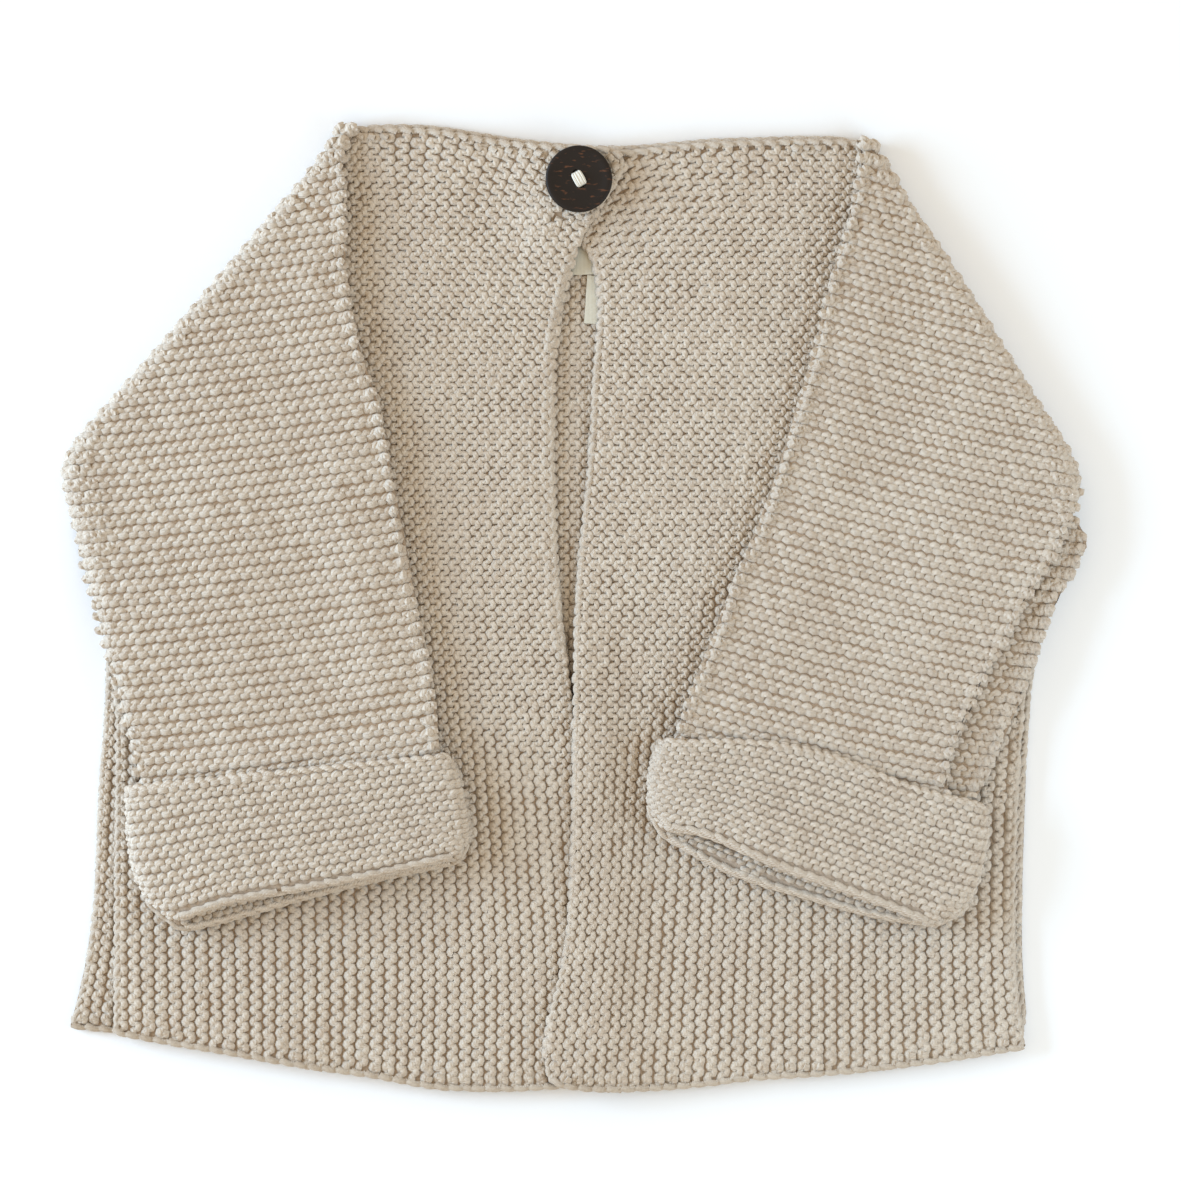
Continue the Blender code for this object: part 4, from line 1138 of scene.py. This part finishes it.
def smoothed(corners, count):
    """Points of a smooth line through some corners."""
    rows = np.array([corners[0], *corners, corners[-1]], dtype=float)
    out = []
    for k in range(1, len(rows) - 2):
        a, b, c, d = rows[k - 1:k + 3]
        for t in np.linspace(0.0, 1.0, count, endpoint=False):
            out.append(0.5 * (2 * b + (c - a) * t + (2 * a - 5 * b + 4 * c - d) * t * t
                              + (3 * b - a - 3 * c + d) * t ** 3))
    return np.array([*out, rows[-2]])


def add_tube(bm, path, radius, sides):
    """Closed tube along a path in a bmesh."""
    rings = []
    for k, place in enumerate(path):
        way = path[min(k + 1, len(path) - 1)] - path[max(k - 1, 0)]
        way = Vector(way).normalized()
        side = way.cross(Vector((0.31, 0.95, 0.0))).normalized()
        up = side.cross(way)
        ring = []
        for m in range(sides):
            angle = 2 * math.pi * m / sides
            ring.append(bm.verts.new(Vector(place) + side * radius * math.cos(angle)
                                     + up * radius * math.sin(angle)))
        rings.append(ring)
    for below, above in zip(rings, rings[1:]):
        for m in range(sides):
            n = (m + 1) % sides
            bm.faces.new((below[m], below[n], above[n], above[m]))
    bm.faces.new(rings[0])
    bm.faces.new(rings[-1])


GRAIN_TURN = math.radians(24.0)
GRAIN_STRETCH = (0.35, 1.0, 1.0)
GRAIN_SCALE = 260.0
GRAIN_RELIEF = 0.00008     # in metres
GRAIN_LIGHT = 1.7          # the grain's lighter parts against its colour
SHELL_FLECK_SCALE = 900.0
SHELL_FLECK_LEVELS = (0.60, 0.70, 0.0, 1.0)   # noise from and to, flecks from and to
SHELL_FLECK = (0.105, 0.042, 0.02)


def coconut(name, colour):
    """Dark coconut shell with a faint grain and small red-brown flecks."""
    made, t, shader = new_material(name, 0.5)
    shader.inputs["Specular IOR Level"].default_value = 0.22
    place = t.add("ShaderNodeTexCoord").outputs["Object"]
    long = t.add("ShaderNodeMapping", place)
    long.inputs["Rotation"].default_value = (0.0, 0.0, GRAIN_TURN)
    long.inputs["Scale"].default_value = GRAIN_STRETCH
    fleck = t.add("ShaderNodeTexNoise", long, noise_dimensions="3D")
    t.feed(fleck, "Scale", SHELL_FLECK_SCALE)
    t.feed(fleck, "Detail", 3.0)
    grain = t.add("ShaderNodeTexNoise", long, noise_dimensions="3D")
    t.feed(grain, "Scale", GRAIN_SCALE)
    t.feed(grain, "Detail", 4.0)
    spots = t.add("ShaderNodeMapRange", fleck.outputs[0], *SHELL_FLECK_LEVELS)
    light = [c * GRAIN_LIGHT for c in colour]
    base = mixed(t, grain.outputs[0], coloured(colour), coloured(light))
    t.feed(shader, "Base Color", mixed(t, spots, base, coloured(SHELL_FLECK)))
    bump = t.add("ShaderNodeBump")
    t.feed(bump, "Strength", 0.35)
    t.feed(bump, "Distance", GRAIN_RELIEF)
    t.feed(bump, "Height", grain.outputs[0])
    t.feed(shader, "Normal", bump)
    return made


WAVES_A_UNIT = 3.18        # a wave texture of scale 1 has this many bands in a unit
RIB_PAINTED_SHADE = 0.72           # painted shade in the grooves between ribs, against the ribs' colour


def striped(name, colour, turn, pitch, depth):
    """Thread or tape: fine ribs of a pitch and depth in metres, across a direction."""
    made, t, shader = new_material(name, 0.75)
    shader.inputs["Specular IOR Level"].default_value = 0.3
    place = t.add("ShaderNodeTexCoord").outputs["Object"]
    along = t.add("ShaderNodeMapping", place)
    along.inputs["Rotation"].default_value = (0.0, 0.0, turn)
    ribs = t.add("ShaderNodeTexWave", along, wave_type="BANDS", bands_direction="X")
    t.feed(ribs, "Scale", 1.0 / (pitch * WAVES_A_UNIT))
    t.feed(ribs, "Distortion", 0.6)
    noise = t.add("ShaderNodeTexNoise", place)
    t.feed(noise, "Scale", 900.0)
    height = t.math("ADD", ribs.outputs[1], t.math("MULTIPLY", noise.outputs[0], 0.4))
    # painted shade: the colour darkens where the ribs' height dips into the grooves, with some
    # random tone from the noise
    groove_painted_shade = [c * RIB_PAINTED_SHADE for c in colour]
    t.feed(shader, "Base Color", mixed(t, height, coloured(groove_painted_shade), coloured(colour)))
    bump = t.add("ShaderNodeBump")
    t.feed(bump, "Strength", 0.6)
    t.feed(bump, "Distance", depth)
    t.feed(bump, "Height", height)
    t.feed(shader, "Normal", bump)
    return made


# Profile of the button: distance in from its edge and height over its underside.
BUTTON_PROFILE = [(0.95, 0.0), (0.55, 0.06), (0.26, 0.26), (0.08, 0.55), (0.0, 0.95),
                  (0.0, 1.95), (0.05, 2.4), (0.2, 2.72), (0.45, 2.92), (0.8, 3.0),
                  (1.3, 3.0), (1.9, 2.93), (2.6, 2.78), (3.6, 2.62), (5.2, 2.52)]
DISH_HEIGHT = 2.5          # middle of the button over its underside
BUTTON_SIDES = 96
BUTTON_SHARP = math.radians(50.0)
HOLE_TURN = math.radians(-62.0)
HOLE_SPACING = 4.2
HOLE_RADIUS = 1.1
HOLE_SIDES = 32
# Cutter of a hole: how much wider than the hole it is, and height.
BORE_PROFILE = [(0.0, -1.0), (0.0, 2.3), (0.25, 2.6), (0.6, 3.6)]

STRANDS = (-1.32, -0.44, 0.44, 1.32)   # offsets of the strands beside each other
STRAND_RADIUS = 0.52
STRAND_SIDES = 10
STRAND_POINTS = 5          # points between two corners of a strand's path
STRAND_DROP = 0.12         # outer strands lie lower by this share of their offset
THREAD_PITCH = 0.0006      # twist of the thread, in metres, its depth, and its turn
THREAD_RELIEF = 0.00012
THREAD_TURN = 0.6
# One strand of thread: along the line of the holes, share of its offset, height over the dish.
STRAND_PATH = [(-1.95, 0.45, -2.2), (-2.05, 0.62, -0.5), (-1.95, 0.9, 0.22),
               (-1.2, 1.0, 0.62), (0.0, 1.04, 0.74), (1.2, 1.0, 0.62),
               (1.95, 0.9, 0.22), (2.05, 0.62, -0.5), (1.95, 0.45, -2.2)]


class CARDIGAN_OT_button(bpy.types.Operator):
    """Two-hole coconut button and the thread that holds it"""
    bl_idname = "cardigan.button"
    bl_label = "Button"

    def execute(self, context):
        finish = context.scene.cardigan_finish
        low, high = node_box("button")
        centre = (low + high) / 2
        radius = (high[0] - low[0]) / 2
        profile = [(0.0, 0.0)]
        profile += [(radius - inset, height) for inset, height in BUTTON_PROFILE]
        profile.append((0.0, DISH_HEIGHT))
        seat = (centre[0], centre[1], low[2])
        disc = from_bmesh("button_disc", turned(profile, BUTTON_SIDES), seat)
        along = Vector((math.cos(HOLE_TURN), math.sin(HOLE_TURN), 0.0))
        bore = [(0.0, BORE_PROFILE[0][1])]
        bore += [(HOLE_RADIUS + wider, height) for wider, height in BORE_PROFILE]
        bore.append((0.0, BORE_PROFILE[-1][1]))
        cutters = []
        for side in (-0.5, 0.5):
            place = Vector(seat) + along * HOLE_SPACING * side
            cutters.append(from_bmesh("hole", turned(bore, HOLE_SIDES), place))
            cut = disc.modifiers.new("hole", "BOOLEAN")
            cut.object = cutters[-1]
            cut.operation = "DIFFERENCE"
            cut.solver = "EXACT"
        disc = evaluated(disc, "button_disc")
        for cutter in cutters:
            bpy.data.objects.remove(cutter)
        disc.data.shade_smooth()
        disc.data.set_sharp_from_angle(angle=BUTTON_SHARP)
        put(disc, coconut("coconut_shell", finish.coconut))
        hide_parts("button")

        across = Vector((-along.y, along.x, 0.0))
        bm = bmesh.new()
        for strand in STRANDS:
            path = [Vector(seat) + along * u + across * strand * v
                    + Vector((0.0, 0.0, DISH_HEIGHT + h - STRAND_DROP * abs(strand)))
                    for u, v, h in STRAND_PATH]
            add_tube(bm, smoothed(path, STRAND_POINTS), STRAND_RADIUS, STRAND_SIDES)
        thread = from_bmesh("button_strands", bm)
        thread.data.shade_smooth()
        twisted = striped("sewing_thread", finish.thread, HOLE_TURN + THREAD_TURN,
                          THREAD_PITCH, THREAD_RELIEF)
        put(thread, twisted)
        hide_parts("button_thread")
        return {"FINISHED"}


# Labels: middle, width and length, turn, and how far the sides stand up.
Label = namedtuple("Label", "middle size turn curl")
LABELS = {"neck_label": Label((3.0, 114.7), (8.6, 10.6), math.radians(1.5), 0.1),
          "care_label": Label((5.7, 101.2), (4.4, 15.8), math.radians(-4.0), 0.35)}
LABEL_GRID = (12, 24)
LABEL_THICK = 0.3
LABEL_ROUND = 0.08         # how much each face draws in at the edges
LABEL_WAVE = (0.06, 0.9)   # height of the waves along a label, and radians a millimetre
LABEL_LIFT = 0.05          # gap below a label, over its solid's underside
LABEL_SHARP = math.radians(40.0)
TAPE_PITCH = 0.00045       # ribs of the tape, in metres, and their depth
TAPE_RELIEF = 0.00006


def label_mesh(label):
    """A thin woven tape as a closed grid, a little curled along its length."""
    bm = bmesh.new()
    columns, rows = LABEL_GRID
    spin = Vector((math.cos(label.turn), math.sin(label.turn)))
    sheets = []
    for level in (0.0, LABEL_THICK):
        sheet = []
        for j in range(rows + 1):
            for i in range(columns + 1):
                u = (i / columns - 0.5) * label.size[0]
                v = (j / rows - 0.5) * label.size[1]
                edge = min(i, columns - i, j, rows - j)
                inset = LABEL_ROUND if edge == 0 else 0.0
                height = level + (inset if level == 0.0 else -inset)
                wave = LABEL_WAVE[0] * math.sin(v * LABEL_WAVE[1])
                height += label.curl * (0.5 - i / columns) ** 2 + wave
                sheet.append(bm.verts.new((u * spin.x - v * spin.y,
                                           u * spin.y + v * spin.x, height)))
        sheets.append(sheet)
    wide = columns + 1
    rim = [*range(wide), *[j * wide + columns for j in range(1, rows + 1)],
           *[rows * wide + i for i in range(columns - 1, -1, -1)],
           *[j * wide for j in range(rows - 1, 0, -1)]]
    for sheet in sheets:
        for j in range(rows):
            for i in range(columns):
                k = j * wide + i
                bm.faces.new((sheet[k], sheet[k + 1], sheet[k + wide + 1], sheet[k + wide]))
    for k, here in enumerate(rim):
        there = rim[(k + 1) % len(rim)]
        bm.faces.new((sheets[0][here], sheets[0][there], sheets[1][there], sheets[1][here]))
    return bm


class CARDIGAN_OT_labels(bpy.types.Operator):
    """The two plain woven tapes in the back neck"""
    bl_idname = "cardigan.labels"
    bl_label = "Labels"

    def execute(self, context):
        finish = context.scene.cardigan_finish
        tape = striped("woven_tape", finish.tape, 0.0, TAPE_PITCH, TAPE_RELIEF)
        for node, label in LABELS.items():
            seat = (*label.middle, node_box(node)[0][2] + LABEL_LIFT)
            made = from_bmesh(node + "_tape", label_mesh(label), seat)
            made.data.shade_smooth()
            made.data.set_sharp_from_angle(angle=LABEL_SHARP)
            put(made, tape)
            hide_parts(node)
        return {"FINISHED"}


# ---- stage, in metres -------------------------------------------------------------------
Light = namedtuple("Light", "name size colour place aim")
WINDOW = Light("window", 0.8, (0.53, 0.75, 1.0), (-1.25, 0.2, 0.5), (0.0, 0.0, 0.0))
BOUNCE = Light("bounce", 0.35, (0.5, 0.75, 1.0), (0.45, -0.14, 0.36), (0.1, -0.06, 0.0))
ROOM_COLOUR = (1.0, 0.86, 0.66)
FLOOR_HALF = 6.0
FLOOR_DROP = 0.0004        # how far the floor lies below the garment
VIEW_CENTRE = (5.1 * MM, 5.55 * MM, 12.0 * MM)   # middle of what the camera sees
VIEW_WIDTH = 0.3862        # width of what it sees there
CAMERA_HEIGHT = 1.55       # over that middle
SENSOR = 36.0              # width of the camera's sensor, in millimetres
CAMERA_REACH = 20.0


def add_light(light, power):
    lamp = bpy.data.lights.new(light.name, "AREA")
    lamp.energy = power
    lamp.size = light.size
    lamp.color = light.colour
    made = bpy.data.objects.new(light.name, lamp)
    made.location = light.place
    way = Vector(light.aim) - Vector(light.place)
    made.rotation_euler = way.to_track_quat("-Z", "Y").to_euler()
    bpy.context.scene.collection.objects.link(made)


class CARDIGAN_OT_stage(bpy.types.Operator):
    """Pale floor, soft window light and the camera straight above"""
    bl_idname = "cardigan.stage"
    bl_label = "Stage"

    def execute(self, context):
        scene = context.scene
        studio = scene.cardigan_studio
        corners = [(x * FLOOR_HALF, y * FLOOR_HALF, -FLOOR_DROP)
                   for x, y in ((-1, -1), (1, -1), (1, 1), (-1, 1))]
        floor = add_mesh("floor", corners, [(0, 1, 2, 3)])
        finish, _, shader = new_material("floor_finish", 0.9)
        shader.inputs["Base Color"].default_value = coloured(studio.floor)
        floor.data.materials.append(finish)
        world = bpy.data.worlds.new("studio")
        world.use_nodes = True
        back = world.node_tree.nodes["Background"]
        back.inputs["Color"].default_value = coloured(ROOM_COLOUR)
        back.inputs["Strength"].default_value = studio.fill
        scene.world = world
        add_light(WINDOW, studio.key)
        add_light(BOUNCE, studio.side)
        scene.view_settings.view_transform = "Standard"
        camera = bpy.data.cameras.new("camera")
        camera.sensor_width = SENSOR
        camera.lens = SENSOR * CAMERA_HEIGHT / VIEW_WIDTH
        camera.clip_end = CAMERA_REACH
        made = bpy.data.objects.new("camera", camera)
        made.location = (VIEW_CENTRE[0], VIEW_CENTRE[1], VIEW_CENTRE[2] + CAMERA_HEIGHT)
        scene.collection.objects.link(made)
        scene.camera = made
        return {"FINISHED"}


class CARDIGAN_PT_panel(bpy.types.Panel):
    """Sizes, colours and pieces of the cardigan"""
    bl_idname = "CARDIGAN_PT_panel"
    bl_label = "Cardigan"
    bl_space_type = "VIEW_3D"
    bl_region_type = "UI"
    bl_category = "Cardigan"

    def draw(self, context):
        layout = self.layout
        for label in ("cardigan_knit", "cardigan_finish", "cardigan_studio"):
            group = getattr(context.scene, label)
            for name in group.bl_rna.properties.keys():
                if name not in ("rna_type", "name"):
                    layout.prop(group, name)
        for operator in OPERATORS:
            layout.operator(operator.bl_idname)


OPERATORS = (CARDIGAN_OT_stage, CARDIGAN_OT_body, CARDIGAN_OT_sleeves, CARDIGAN_OT_cuffs,
             CARDIGAN_OT_button, CARDIGAN_OT_labels)
GROUPS = {"cardigan_knit": CardiganKnit, "cardigan_finish": CardiganFinish,
          "cardigan_studio": CardiganStudio}


def register():
    for group in GROUPS.values():
        bpy.utils.register_class(group)
    for label, group in GROUPS.items():
        setattr(bpy.types.Scene, label, PointerProperty(type=group))
    for kind in (*OPERATORS, CARDIGAN_PT_panel):
        bpy.utils.register_class(kind)


def unregister():
    for kind in (CARDIGAN_PT_panel, *reversed(OPERATORS)):
        bpy.utils.unregister_class(kind)
    for label in GROUPS:
        delattr(bpy.types.Scene, label)
    for group in reversed(list(GROUPS.values())):
        bpy.utils.unregister_class(group)


def main():
    register()
    bpy.ops.cardigan.stage()
    bpy.ops.cardigan.body()
    bpy.ops.cardigan.sleeves()
    bpy.ops.cardigan.cuffs()
    bpy.ops.cardigan.button()
    bpy.ops.cardigan.labels()


if __name__ == "__main__":
    main()
